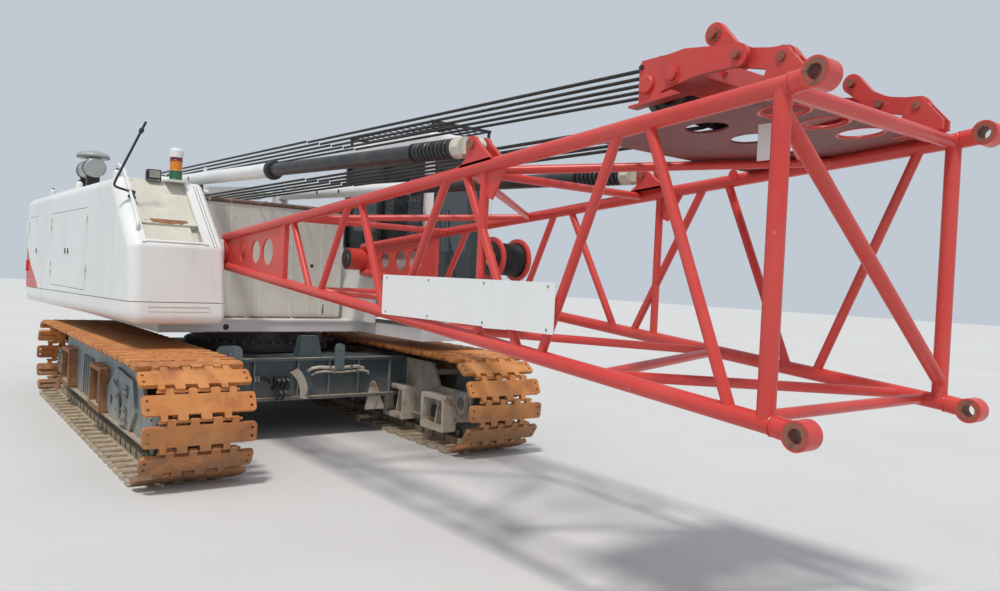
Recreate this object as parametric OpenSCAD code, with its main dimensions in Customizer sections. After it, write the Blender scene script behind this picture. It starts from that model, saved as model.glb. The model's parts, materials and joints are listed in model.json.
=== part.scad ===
// Crawler crane of the 70 tonne class, parked with only the boom's base section on.
// X runs forward along the boom, Y to the machine's left and Z up from the ground.

/* [Undercarriage] */
// Length of a track from shoe tip to shoe tip
track_length = 5500; // [5200:50:5900]
// Distance between the tracks' centre planes, drawn in for travel
track_gauge = 2720; // [2700:10:3300]
// Width of a track shoe
shoe_width = 800; // [760:10:820]
// Height of a track over its shoes
track_height = 905; // [880:5:960]
// Thickness of a track shoe with its link
shoe_depth = 105; // [90:5:115]
// Number of shoes in one track
shoe_count = 58; // [54:1:62]
// Gap between two shoes
shoe_gap = 34; // [20:2:44]
// Angle of the undercarriage below the parked upperworks
parked_slew = -2; // [-4:1:0]
// Width of a track frame
frame_width = 400; // [360:10:420]
// Height of the carbody's cross beams
beam_height = 400; // [360:10:420]
// Underside of the cross beams above the ground
beam_z = 380; // [360:10:420]
// Distance of each cross beam from the slew axis
beam_reach = 990; // [930:10:1000]
// Outer radius of the slew ring
ring_radius = 740; // [700:10:760]

/* [Upperworks] */
// Underside of the revolving deck above the ground
deck_z = 1000; // [990:5:1040]
// Thickness of the revolving deck
deck_depth = 120; // [110:5:140]
// Rear end of the houses behind the slew axis
rear_reach = 3950; // [3800:50:4200]
// Width over both houses
upper_width = 3300; // [3240:20:3360]
// Inner side of each house from the centre plane
house_inner = 845; // [842:1:860]
// Front of the right house ahead of the slew axis
house_front = 1400; // [1340:20:1460]
// Height of the fold where the house's sloped front begins
fold_z = 1710; // [1680:10:1760]
// Height of the house roof
roof_z = 2400; // [2360:10:2460]
// Distance that the sloped front leans back
front_lean = 780; // [700:20:820]
// Wall thickness of the houses and their doors
wall = 40; // [30:5:50]
// Gap round a door
door_gap = 8; // [7:1:12]

/* [Cab] */
// Rear wall of the cab ahead of the slew axis
cab_rear = 180; // [150:10:240]
// Length of the cab
cab_length = 1760; // [1700:20:1800]
// Inner side of the cab from the centre plane
cab_inner = 850; // [846:1:870]
// Height of the cab's roof above the ground
cab_roof_z = 3030; // [2960:10:3060]
// Thickness of the cab's walls and door
cab_wall = 55; // [50:5:65]

/* [Boom] */
// Height of the boom's centre line above the ground
boom_z = 1770; // [1740:10:1800]
// Boom foot pins ahead of the slew axis
foot_x = 950; // [930:10:980]
// Length from the foot pins to the end lugs' bores
boom_length = 5950; // [5900:10:6050]
// Width between the end lugs' centre planes
boom_width = 1450; // [1440:5:1460]
// Height between the end lugs' bores
boom_height = 1300; // [1260:10:1340]
// Half of the distance between the chords at the foot
foot_half = 130; // [128:1:134]
// Diameter of the chords
chord_d = 76; // [70:2:80]
// Diameter of the lacing tubes
lace_d = 50; // [44:2:54]
// Diameter of the end lugs' bores
lug_bore = 58; // [50:2:62]
// Width of an end lug along its bore
lug_width = 90; // [86:1:96]
// Radius of a boom foot pin
foot_pin_r = 45; // [40:1:50]

/* [Backstops] */
// Height of the backstops' rear pins
stop_z = 2550; // [2530:5:2570]
// Rear pins behind the slew axis
stop_back = 1200; // [1180:10:1220]
// Distance of each backstop from the centre plane
stop_y = 700; // [696:1:704]
// Outer radius of a backstop's tube
stop_tube_r = 62; // [58:1:64]
// Length from a rear pin to its tube's mouth
stop_tube_length = 3150; // [3100:10:3160]

/* [Hidden] */
$fn = 40;
white = "whitesmoke";
red = "#d8322e";
slate = "#3d474c";
rust = "#b8672a";
black = "#26282a";

// The slew axis lies so that the origin is below the middle of the whole crane
lug_r = 58;
boom_end = foot_x + boom_length;
slew_x = -(boom_end + lug_r - rear_reach) / 2;
fit = 0.05;
eps = 1;

module upper() translate([slew_x, 0, 0]) children();
module lower() translate([slew_x, 0, 0]) rotate([0, 0, parked_slew]) children();
module side(s) if (s > 0) children(); else mirror([0, 1, 0]) children();

// A round bar from point a to point b
module bar(a, b, r) {
    d = b - a;
    translate(a) rotate([0, acos(d[2] / norm(d)), atan2(d[1], d[0])]) cylinder(h = norm(d), r = r);
}

// A round bar along Y between two places
module cross_bar(x, y0, y1, z, r) translate([x, y0, z]) rotate([-90, 0, 0]) cylinder(h = y1 - y0, r = r);

// A side profile in X and Z, given thickness along Y from y0
module plate_xz(points, y0, t) translate([0, y0 + t, 0]) rotate([90, 0, 0]) linear_extrude(t) polygon(points);

// A box by its lowest corner and its size, with its upright edges rounded
module slab(p, s, r) translate(p) linear_extrude(s[2]) hull()
    for (x = [r, s[0] - r], y = [r, s[1] - r]) translate([x, y]) circle(r);

// Undercarriage
wheel_r = track_height / 2 - shoe_depth;
wheel_z = track_height / 2;
wheel_x = track_length / 2 - track_height / 2;
pitch_r = wheel_r + shoe_depth * 0.35;
run = 2 * wheel_x;
loop = 2 * run + 2 * PI * pitch_r;

// Point of the track's pitch line at distance s from the front of its top run
function loop_point(s, r) =
    s < run ? [wheel_x - s, wheel_z + r] :
    s < run + PI * pitch_r ? arc_point(-wheel_x, 90 + (s - run) / pitch_r * 180 / PI, r) :
    s < 2 * run + PI * pitch_r ? [s - run - PI * pitch_r - wheel_x, wheel_z - r] :
    arc_point(wheel_x, 270 + (s - 2 * run - PI * pitch_r) / pitch_r * 180 / PI, r);
function arc_point(x, a, r) = [x + r * cos(a), wheel_z + r * sin(a)];
shoe_pitch = loop / shoe_count;
shoe_top = track_height / 2;
shoe_root = pitch_r + 12;

// Every shoe adds two outer corners and the two corners of the gap before it
shoe_outline = [for (i = [0 : shoe_count - 1], c = [[0, 0], [0, 1], [1, 1], [1, 0]])
    loop_point(i * shoe_pitch + (c[0] == 0 ? shoe_gap / 2 : shoe_pitch - shoe_gap / 2),
        c[1] == 1 ? shoe_top : shoe_root)];

module track(s) color(rust) lower() translate([0, s * track_gauge / 2 + shoe_width / 2, 0])
    rotate([90, 0, 0]) linear_extrude(shoe_width) difference() {
        polygon(shoe_outline);
        translate([-wheel_x, wheel_z - wheel_r]) square([run, 2 * wheel_r]);
        for (x = [-wheel_x, wheel_x]) translate([x, wheel_z]) circle(wheel_r, $fn = 64);
    }
module track_right() track(-1);
module track_left() track(1);

// Rollers: x of each bottom roller follows from their number
roller_r = 95;
roller_count = 9;
roller_width = 250;
roller_z = track_height / 2 - wheel_r + roller_r + 0.3;
roller_span = 2 * wheel_x - 900;
carrier_r = 62;
carrier_z = track_height / 2 + wheel_r - carrier_r - 0.3;
axle_r = 55;
module track_wheels(s) color(slate) lower() translate([0, s * track_gauge / 2, 0]) {
    for (x = [-wheel_x, wheel_x]) translate([x, 0, wheel_z]) rotate([90, 0, 0]) {
        cylinder(h = 150, r = wheel_r - 0.3, center = true, $fn = 64);
        cylinder(h = frame_width - 60, r = 130, center = true);
        cylinder(h = frame_width + 40, r = axle_r, center = true);
    }
    for (i = [0 : roller_count - 1])
        translate([-roller_span / 2 + i * roller_span / (roller_count - 1), 0, roller_z]) rotate([90, 0, 0]) {
            cylinder(h = roller_width, r = roller_r, center = true);
            cylinder(h = frame_width - 2 * frame_plate, r = 35, center = true);
        }
    for (x = [-800, 800]) translate([x, 0, carrier_z]) rotate([90, 0, 0]) {
        cylinder(h = 160, r = carrier_r, center = true);
        cylinder(h = frame_width - 2 * frame_plate, r = 25, center = true);
    }
}
module track_wheels_right() track_wheels(-1);
module track_wheels_left() track_wheels(1);

// Track frame: two side plates joined by a top deck between the wheels
frame_top = carrier_z + 35;
frame_bottom = roller_z - 20;
frame_plate = 30;

// Boxes on a frame's faces: rear end along the frame and the face that carries it
frame_boxes = [[-1600, 1], [100, 1], [1250, -1], [1750, -1], [-1580, -1], [-2080, -1]];
yoke_x = 800;
module track_frame(s) color(slate) lower() translate([0, s * track_gauge / 2, 0]) difference() {
    union() {
        for (y = [-frame_width / 2, frame_width / 2 - frame_plate]) plate_xz([[-wheel_x - 150, 300],
            [-roller_span / 2, frame_bottom], [roller_span / 2, frame_bottom], [wheel_x + 150, 300],
            [wheel_x + 150, 560], [wheel_x - 420, 560], [wheel_x - 560, frame_top],
            [560 - wheel_x, frame_top], [420 - wheel_x, 560], [-wheel_x - 150, 560]], y, frame_plate);
        translate([600 - wheel_x, -frame_width / 2 + eps, frame_top - 130])
            cube([2 * wheel_x - 1200, frame_width - 2 * eps, 50]);
        // Rusty boxes on both faces of the frame
        for (b = frame_boxes)
            scale([1, s * b[1], 1]) translate([b[0], frame_width / 2 - eps, 230]) difference() {
            cube([330, 140, 300]);
            translate([30, 30, 30]) cube([270, 120, 240]);
        }
        // Yoke plate on the outer face near the front
        scale([1, s, 1]) plate_xz([[yoke_x - 190, 410], [yoke_x - 110, 300], [yoke_x + 110, 300],
            [yoke_x + 190, 410], [yoke_x + 110, 520], [yoke_x - 110, 520]], frame_width / 2 - eps, 25 + eps);
    }
    translate([yoke_x, 0, 410]) rotate([90, 0, 0]) cylinder(h = frame_width + 100, r = 45, center = true);
    for (x = [-wheel_x, wheel_x]) translate([x, 0, wheel_z]) rotate([90, 0, 0])
        cylinder(h = frame_width + 400, r = axle_r + fit, center = true);
    for (x = [-800, 800])
        translate([x - carrier_r - 20, -90, frame_top - 200]) cube([2 * carrier_r + 40, 180, 300]);
}
module track_frame_right() track_frame(-1);
module track_frame_left() track_frame(1);

// Carbody: a centre box and two cross beams between the track frames
beam_width = 420;
flange = 25;
beam_half = track_gauge / 2 - frame_width / 2;
carbody_top = beam_z + beam_height;
module carbody() color(slate) lower() {
    for (x = [-beam_reach, beam_reach]) {
        translate([x - beam_width / 2 + 40, -beam_half, beam_z + flange])
            cube([beam_width - 80, 2 * beam_half, beam_height - 2 * flange]);
        for (z = [beam_z, carbody_top - flange]) translate([x - beam_width / 2, -beam_half, z])
            cube([beam_width, 2 * beam_half, flange]);
        // Rounded brackets where a beam meets the track frames
        for (y = [-beam_half, beam_half - 30])
            translate([x, y + 30, 0]) rotate([90, 0, 0]) linear_extrude(30) {
            translate([-245, beam_z - 60]) square([490, 400]);
            translate([-165, beam_z + 300]) square([330, 120]);
            for (side_x = [-165, 165]) translate([side_x, beam_z + 340]) circle(80);
        }
    }
    translate([-beam_reach, -760, beam_z + 60]) cube([2 * beam_reach, 1520, beam_height - 60]);
    // Stop post between the front beam and the deck
    translate([beam_reach + 20, 150, carbody_top - eps])
        linear_extrude(deck_z - 15 - carbody_top, scale = 0.7)
        square([160, 240], center = true);
}
ring_top = deck_z - 2;
module slew_ring() color(black) lower() translate([0, 0, carbody_top]) difference() {
    union() {
        cylinder(h = ring_top - carbody_top, r = ring_radius - 60);
        translate([0, 0, 20]) cylinder(h = 80, r = ring_radius);
    }
    translate([0, 0, -eps]) cylinder(h = ring_top, r = ring_radius - 170);
}

// Revolving deck
deck_top = deck_z + deck_depth;
deck_front = 760;
bracket_in = boom_width / 2 + chord_d / 2 + 14;
bracket_t = house_inner - bracket_in - 15;
weight_pin_r = 30;
module deck_frame() color(white) upper() {
    difference() {
        translate([-rear_reach + 60, -house_inner, deck_z])
            cube([rear_reach + deck_front - 60, 2 * house_inner, deck_depth]);
        // Bores for the counterweight's two upright pins
        for (y = [-400, 400]) translate([-rear_reach + 160, y, deck_z - eps])
            cylinder(h = deck_depth + 2 * eps, r = weight_pin_r);
    }
    // Spigot that turns inside the slew ring
    translate([0, 0, deck_z - 60]) cylinder(h = 60 + eps, r = ring_radius - 170 - fit);
    // Bed under the cab with its four mounting pads
    translate([deck_front - eps, cab_inner, deck_z])
        cube([cab_front - deck_front, cab_width - 60, deck_depth]);
    for (x = [cab_rear + 150, cab_front - 150], y = [cab_inner + 120, cab_outer - 180])
        translate([x, y, deck_top - eps]) cylinder(h = cab_floor - deck_top + eps, r = 50);
    for (s = [-1, 1]) side(s) {
        translate([-rear_reach + 120, house_inner - eps, deck_z])
            cube([rear_reach + deck_front - 120, 400, deck_depth]);
    }
}

// Winch frame: two long upright plates, the seats of the backstops and gantry, and the boom foot brackets
winch_y = 520;
winch_t = 40;
winch_rear = 650 - rear_reach;
winch_front = 300;
winch_low = 1500;
winch_high = 1950;
drum_x = [-350, -1500, 1350 - rear_reach];
drum_z = 1640;
shaft_r = 60;
stop_pin_r = 30;
seat_t = 22;
seat_gap = 48;
module winch_frame() color(white) upper() for (s = [-1, 1]) side(s) {
    difference() {
        plate_xz([[winch_rear, deck_top], [winch_front, deck_top], [winch_front, winch_low],
            [winch_front - 400, winch_high], [-900, winch_high], [-stop_back + 60, stop_z - 90],
            [-stop_back - 60, stop_z - 90], [-1900, winch_high], [winch_rear + 400, winch_high],
            [winch_rear, winch_low]], winch_y, winch_t);
        for (x = drum_x) cross_bar(x, winch_y - 50, winch_y + 100, drum_z, shaft_r + fit);
    }
    for (y = [stop_y - seat_gap - seat_t, stop_y + seat_gap]) plate_xz([[-stop_back - 260, deck_top],
        [-stop_back + 260, deck_top], [-stop_back + 80, stop_z], [-stop_back + 50, stop_z + 70],
        [-stop_back - 50, stop_z + 70], [-stop_back - 80, stop_z]], y, seat_t);
    cross_bar(-stop_back, 380, stop_y + seat_gap + seat_t + 10, stop_z, stop_pin_r);
    translate([-stop_back - 60, winch_y + winch_t - eps, stop_z - 200])
        cube([120, stop_y - seat_gap - seat_t - winch_y - winch_t + 2 * eps, 60]);
    // Boom foot bracket and its pin
    plate_xz([[430, deck_top], [foot_x + 130, deck_top], [foot_x + 130, boom_z],
        [foot_x + 90, boom_z + 110], [foot_x - 90, boom_z + 110], [430, boom_z - 250]],
        bracket_in, bracket_t);
    cross_bar(foot_x, 530, bracket_in + eps, boom_z, foot_pin_r);
}

// Wall across the front of the winches, with a rail along its top
wall_x = 400;
wall_top = 2270;
module front_wall() color(white) upper() {
    translate([wall_x, -740, deck_top]) cube([24, 1480, wall_top - deck_top]);
    translate([wall_x - 30, -740, wall_top]) cube([84, 1480, 45]);
}

// Winch drums
drum_r = 200;
drum_flange_r = 300;
module drum(x) color(red) upper() {
    cross_bar(x, -winch_y + 15, winch_y - 15, drum_z, drum_r);
    for (y = [15 - winch_y, winch_y - 45]) cross_bar(x, y, y + 30, drum_z, drum_flange_r);
    cross_bar(x, -winch_y - winch_t - 20, winch_y + winch_t + 20, drum_z, shaft_r);
}
module hoist_drum_front() drum(drum_x[0]);
module hoist_drum_rear() drum(drum_x[1]);
module boom_hoist_drum() drum(drum_x[2]);

// Houses: a side profile with a fold, hollow inside, rounded along the outer edges
house_outer = upper_width / 2;
house_bottom = deck_top;
skirt_bottom = 1060;
corner_r = 120;
edge_r = 60;
fold = [house_front - front_lean * 0.12, fold_z + 80];
function slope_foot(front) = [front - front_lean * 0.12, fold_z + 80];
function house_profile(front, t) = [[-rear_reach + t, house_bottom], [front - 50 - t, house_bottom],
    [front - t, house_bottom + 60], [front - t, fold_z], slope_foot(front) - [t, 0],
    [front - front_lean - t, roof_z - t], [-rear_reach + 80 + t, roof_z - t],
    [-rear_reach + t, roof_z - t - 80]];

// Plan and cross-section of a house, rounded at the outer corners
module house_plan(front) {
    translate([-rear_reach, corner_r - house_outer])
        square([rear_reach + front, house_outer - house_inner - corner_r]);
    translate([corner_r - rear_reach, -house_outer])
        square([rear_reach + front - 2 * corner_r, corner_r + eps]);
    for (x = [corner_r - rear_reach, front - corner_r])
        translate([x, corner_r - house_outer]) circle(corner_r);
}
module house_section() {
    translate([-house_outer, 0]) square([house_outer - house_inner, roof_z - edge_r]);
    translate([edge_r - house_outer, roof_z - edge_r - eps])
        square([house_outer - house_inner - edge_r, edge_r + eps]);
    translate([edge_r - house_outer, roof_z - edge_r]) circle(edge_r);
}
module house(front) difference() {
    intersection() {
        plate_xz(house_profile(front, 0), -house_outer, house_outer - house_inner);
        linear_extrude(roof_z + eps) house_plan(front);
        translate([-rear_reach - eps, 0, 0]) rotate([90, 0, 90]) linear_extrude(rear_reach + front + 2 * eps)
            house_section();
    }
    plate_xz(house_profile(front, wall), -house_outer + wall + 20, house_outer - house_inner - 2 * wall - 20);
    translate([-rear_reach + wall, -house_outer + wall + 20, house_bottom - eps])
        cube([rear_reach + front - 50 - 2 * wall, house_outer - house_inner - 2 * wall - 20, 50]);
}

// Skirt below a house's outer side
module house_skirt(front) translate([corner_r - rear_reach, -house_outer, skirt_bottom])
    cube([rear_reach + front - 2 * corner_r, 30, house_bottom - skirt_bottom + eps]);

// Recess in the right house's sloped front: across the slope, up the slope and its depth
recess_y = [-1510, -1030];
recess_s = [60, 880];
recess_depth = 22;
slope_rise = [-front_lean * 0.88, roof_z - fold_z - 80];
slope_u = slope_rise / norm(slope_rise);
slope_n = [slope_u[1], -slope_u[0]];
module slope_recess() {
    u = slope_u;
    n = slope_n;
    plate_xz([fold + u * recess_s[0] - n * recess_depth, fold + u * recess_s[0] + n * 20,
        fold + u * recess_s[1] + n * 20, fold + u * recess_s[1] - n * recess_depth], recess_y[0],
        recess_y[1] - recess_y[0]);
}

// Doors in the right house: rear edge, front edge, and 1 if hinged at the rear or -1 at the front
door_x = [[190 - rear_reach, 870 - rear_reach, 1], [-2180, -1250, 1], [-1250, -320, -1]];
door_low = 1330;
door_high = 2150;
door_t = wall + 20;
module door_opening(d) translate([d[0], -house_outer - eps, door_low])
    cube([d[1] - d[0], door_t + 2 * eps, door_high - door_low]);

// Door hinges: pins on the fixed side turn in barrels on the door's side
barrel_r = 14;
hinge_pin_r = 7;
hinge_z = [1450, 1950];
module leaf(x, z, h, way) translate([x + (way > 0 ? 0 : -60), -barrel_r, z]) cube([60, barrel_r, h]);
module hinge_fixed(way) {
    for (z = [0, 100]) translate([0, 0, z]) cylinder(h = 40, r = barrel_r);
    cylinder(h = 120, r = hinge_pin_r);
    for (z = [0, 100]) translate([0, barrel_r, z]) leaf(0, 0, 40, -way);
}
module hinge_moving(way) difference() {
    union() {
        translate([0, 0, 42]) cylinder(h = 56, r = barrel_r);
        translate([0, barrel_r, 42]) leaf(0, 0, 56, way);
    }
    translate([0, 0, -eps]) cylinder(h = 150, r = hinge_pin_r + fit);
}
module house_door(d) color(white) upper() {
    translate([d[0] + door_gap, -house_outer, door_low + door_gap])
        cube([d[1] - d[0] - 2 * door_gap, door_t, door_high - door_low - 2 * door_gap]);
    for (z = hinge_z) translate([d[2] > 0 ? d[0] : d[1], -house_outer - barrel_r, z]) hinge_moving(d[2]);
}
module house_right() color(white) upper() {
    difference() {
        union() {
            house(house_front);
            house_skirt(house_front);
        }
        slope_recess();
        for (d = door_x) door_opening(d);
    }
    for (d = door_x, z = hinge_z)
        translate([d[2] > 0 ? d[0] : d[1], -house_outer - barrel_r, z]) hinge_fixed(d[2]);
}
left_front = 100;
module house_left() color(white) upper() mirror([0, 1, 0]) {
    house(left_front);
    house_skirt(left_front);
}
module house_door_rear() house_door(door_x[0]);
module house_door_middle() house_door(door_x[1]);
module house_door_front() house_door(door_x[2]);
module engine() color(slate) upper() translate([1050 - rear_reach, -1500, deck_top])
    cube([1500, 560, 800]);

// Cab
cab_outer = house_outer;
cab_front = cab_rear + cab_length;
cab_floor = deck_top + 60;
cab_width = cab_outer - cab_inner;
cab_door_x = [900, 1650];
sill_z = 1900;
lintel_z = 2860;
module cab_box(t) translate([cab_rear + t, cab_inner + t, cab_floor + t])
    cube([cab_length - 2 * t, cab_width - 2 * t, cab_roof_z - cab_floor - 2 * t]);
module cab_windows(t) {
    // Front, two right panes, rear pane and left rear pane
    translate([cab_front - cab_wall - t, cab_inner + 90, 1500])
        cube([cab_wall + 2 * t, cab_width - 180, lintel_z - 1500]);
    translate([cab_rear + 100, cab_inner - t, sill_z]) cube([700, cab_wall + 2 * t, lintel_z - sill_z]);
    translate([cab_rear + 880, cab_inner - t, sill_z])
        cube([cab_length - 980, cab_wall + 2 * t, lintel_z - sill_z]);
    translate([cab_rear - t, cab_inner + 120, sill_z + 200]) cube([cab_wall + 2 * t, cab_width - 240, 560]);
    translate([cab_rear + 100, cab_outer - cab_wall - t, sill_z])
        cube([540, cab_wall + 2 * t, lintel_z - sill_z]);
    translate([cab_front - 900, cab_inner + 150, cab_roof_z - cab_wall - t])
        cube([600, cab_width - 300, cab_wall + 2 * t]);
}
cab_hinge_z = [1420, 2580];
module at_cab_hinge(z) translate([cab_door_x[0], cab_outer + barrel_r, z]) mirror([0, 1, 0]) children();
module cab_shell() color(white) upper() {
    difference() {
        cab_box(0);
        cab_box(cab_wall);
        cab_windows(eps);
        translate([cab_door_x[0], cab_outer - cab_wall - eps, cab_floor + 60])
            cube([cab_door_x[1] - cab_door_x[0], cab_wall + 2 * eps, lintel_z - cab_floor]);
    }
    for (z = cab_hinge_z) at_cab_hinge(z) hinge_fixed(1);
}
module cab_door() color(white) upper() {
    for (z = cab_hinge_z) at_cab_hinge(z) hinge_moving(1);
    cab_door_panel();
}
module cab_door_panel() difference() {
    translate([cab_door_x[0] + door_gap, cab_outer - cab_wall, cab_floor + 60 + door_gap])
        cube([cab_door_x[1] - cab_door_x[0] - 2 * door_gap, cab_wall, lintel_z - cab_floor - 2 * door_gap]);
    translate([cab_door_x[0] + 90, cab_outer - cab_wall - eps, sill_z])
        cube([cab_door_x[1] - cab_door_x[0] - 180, cab_wall + 2 * eps, lintel_z - sill_z - 60]);
}
pane = 8;
module cab_glass() color("#45525a", 0.5) upper() {
    translate([cab_front - cab_wall / 2, cab_inner + 90, 1500])
        cube([pane, cab_width - 180, lintel_z - 1500]);
    translate([cab_rear + 100, cab_inner + cab_wall / 2, sill_z]) cube([700, pane, lintel_z - sill_z]);
    translate([cab_rear + 880, cab_inner + cab_wall / 2, sill_z])
        cube([cab_length - 980, pane, lintel_z - sill_z]);
    translate([cab_rear + cab_wall / 2, cab_inner + 120, sill_z + 200]) cube([pane, cab_width - 240, 560]);
    translate([cab_rear + 100, cab_outer - cab_wall / 2, sill_z]) cube([540, pane, lintel_z - sill_z]);
    translate([cab_front - 900, cab_inner + 150, cab_roof_z - cab_wall / 2])
        cube([600, cab_width - 300, pane]);
}
module cab_seat() color(black) upper() translate([cab_rear + 420, cab_inner + 160, cab_floor + cab_wall]) {
    translate([60, 60, 0]) cube([380, 380, 250]);
    slab([0, 0, 250], [520, 500, 130], 50);
    slab([-60, 0, 380], [130, 500, 620], 50);
}

// Guards over the cab's roof and windows
guard_bar = 16;
side_guard_x = [cab_rear + 880, cab_front - 60];
side_guard_z = [1880, lintel_z + 20];
module cab_guards() color(black) upper() {
    // Roof guard on four posts
    for (x = [cab_rear + 60, cab_front - 60], y = [cab_inner + 60, cab_outer - 60])
        translate([x, y, cab_roof_z]) cylinder(h = 95, r = guard_bar);
    for (x = [cab_rear + 60, cab_front - 60])
        cross_bar(x, cab_inner + 40, cab_outer - 40, cab_roof_z + 95, guard_bar);
    for (i = [0 : 6]) bar([cab_rear + 40, cab_inner + 60 + i * (cab_width - 120) / 6, cab_roof_z + 95],
        [cab_front - 40, cab_inner + 60 + i * (cab_width - 120) / 6, cab_roof_z + 95], guard_bar * 0.7);
    // Frame of the guard over the right front window, on four feet
    for (z = side_guard_z)
        bar([side_guard_x[0] - 8, cab_inner - 25, z], [side_guard_x[1] + 8, cab_inner - 25, z], 8);
    for (x = side_guard_x) {
        bar([x, cab_inner - 25, side_guard_z[0]], [x, cab_inner - 25, side_guard_z[1]], 8);
        for (z = side_guard_z) cross_bar(x, cab_inner - 25, cab_inner, z, 8);
    }
}

// Gantry, lowered on to the machine for travel
peak_x = 950 - rear_reach;
peak_z = 2640;
leg_y = 430;
leg_t = 70;
module gantry() color(white) upper() {
    for (s = [-1, 1]) side(s) {
        difference() {
            plate_xz([[-stop_back + 75, stop_z - 60], [-stop_back + 75, stop_z + 60],
                [-stop_back - 80, stop_z + 75],
                [peak_x + 100, peak_z + 90], [peak_x - 90, peak_z + 90], [peak_x - 90, peak_z - 90],
                [peak_x + 100, peak_z - 90], [-stop_back - 80, stop_z - 75]], leg_y - leg_t / 2, leg_t);
            cross_bar(-stop_back, leg_y - leg_t, leg_y + leg_t, stop_z, stop_pin_r + fit);
        }
        plate_xz([[peak_x - 60, peak_z - 80], [peak_x + 60, peak_z - 80], [peak_x - 240, deck_top],
            [peak_x - 360, deck_top]], leg_y - leg_t / 2 - 10, 40);
    }
    cross_bar(peak_x, -leg_y, leg_y, peak_z, 45);
}
sheave_r = 190;
sheave_count = 5;
sheave_pitch = 110;
module sheave_stack(x, z, r, axle) difference() {
    for (i = [0 : sheave_count - 1]) cross_bar(x, (i - (sheave_count - 1) / 2) * sheave_pitch - 50,
        (i - (sheave_count - 1) / 2) * sheave_pitch + 50, z, r);
    cross_bar(x, -400, 400, z, axle + fit);
}
module gantry_sheaves() color(black) upper() sheave_stack(peak_x, peak_z, sheave_r, 45);

// Backstops: tube pinned at the rear, rod with spring and head pinned to the boom's bracket
stop_head_x = 4830;
stop_head_z = 2372;
stop_rod_r = stop_tube_r - 9;
stop_span = [stop_head_x + stop_back, stop_head_z - stop_z];
stop_length = norm(stop_span);
stop_angle = atan2(stop_span[1], stop_span[0]);
module stop_frame(s) upper() translate([-stop_back, s * stop_y, stop_z])
    rotate([0, 90 - stop_angle, 0]) children();
eye_width = 84;
module backstop_tube(s) color(white) stop_frame(s) difference() {
    union() {
        translate([0, 0, 150]) cylinder(h = stop_tube_length - 150, r = stop_tube_r);
        translate([0, 0, stop_tube_length - 60]) cylinder(h = 60, r = stop_tube_r + 4);
        rotate([90, 0, 0]) cylinder(h = eye_width, r = 75, center = true);
        translate([-45, -eye_width / 2, 0]) cube([90, eye_width, 200]);
    }
    // The bore is 3 mm wider than the rod behind the mouth, which guides the rod
    translate([0, 0, 300]) cylinder(h = stop_tube_length - 400, r = stop_rod_r + 3);
    translate([0, 0, 300]) cylinder(h = stop_tube_length, r = stop_rod_r + fit);
    rotate([90, 0, 0]) cylinder(h = 200, r = stop_pin_r + fit, center = true);
}
stop_spring_r = 62;
stop_nut_r = 63;
head_pin_r = 22;
module backstop_rod(s) color(black) stop_frame(s) difference() {
    union() {
        translate([0, 0, stop_tube_length - 250])
            cylinder(h = stop_length - stop_tube_length - 350, r = stop_rod_r);
        translate([0, 0, stop_length - 700]) cylinder(h = 446, r = stop_spring_r);
        translate([0, 0, stop_length - 255]) cylinder(h = 125, r = stop_nut_r);
        translate([-40, -25, stop_length - 140]) cube([80, 50, 140]);
        translate([0, 0, stop_length]) rotate([90, 0, 0]) cylinder(h = 50, r = 48, center = true);
    }
    translate([0, 0, stop_length]) rotate([90, 0, 0]) cylinder(h = 100, r = head_pin_r + fit, center = true);
}
module backstop_tube_right() backstop_tube(-1);
module backstop_tube_left() backstop_tube(1);
module backstop_rod_right() backstop_rod(-1);
module backstop_rod_left() backstop_rod(1);

// Roof fittings: air cleaner, beacon, lamp, rails and mirror
cleaner = [-2550, -1250, roof_z + 320];
module air_cleaner() color("silver") upper() {
    translate(cleaner) rotate([0, 90, 0]) cylinder(h = 600, r = 115);
    translate(cleaner + [430, 0, 0]) cylinder(h = 170, r = 60);
    translate(cleaner + [430, 0, 130]) cylinder(h = 95, r = 185);
    for (x = [60, 400]) translate([cleaner[0] + x, cleaner[1] - 70, roof_z]) cube([80, 140, 250]);
}
module roof_fittings() color("darkorange") upper() {
    translate([480, -1340, roof_z]) cube([270, 340, 6]);
    translate([690, -1110, roof_z + 6]) cylinder(h = 300, r = 50);
    translate([560, -1330, roof_z + 6]) cube([100, 90, 100]);
}

// Mirror rod: foot on the slope, bend beside the house and tip
mirror_foot = [841, -1531, fold[1] + (fold[0] - 841) * slope_u[1] / -slope_u[0]];
mirror_bend = [930, -1710, 2277];
mirror_tip = [1010, -1480, 2852];
mirror_r = 12;
module mirror_arm() color(black) upper() {
    normal = [slope_n[0], 0, slope_n[1]];
    translate(mirror_foot) rotate([0, atan2(normal[0], normal[2]), 0]) cylinder(h = 60, r = mirror_r + 3);
    bar(mirror_foot + normal * 48, mirror_bend, mirror_r);
    translate(mirror_bend) sphere(r = mirror_r + 1);
    bar(mirror_bend, mirror_tip, mirror_r);
}

// Boom base section: four chords that spread from the foot to the end lugs
chord_r = chord_d / 2;
lace_r = lace_d / 2;
chord_y = boom_width / 2;
chord_end = boom_end - 100;
taper = (boom_height / 2 - 14 - foot_half) / (chord_end - foot_x);
taper_angle = atan(taper);
function half(x) = foot_half + taper * (x - foot_x);
function node_at(x, s, k) = [x, s * chord_y, boom_z + k * half(x)];
module chord(s, k) bar(node_at(foot_x, s, k), node_at(chord_end, s, k), chord_r);

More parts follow.
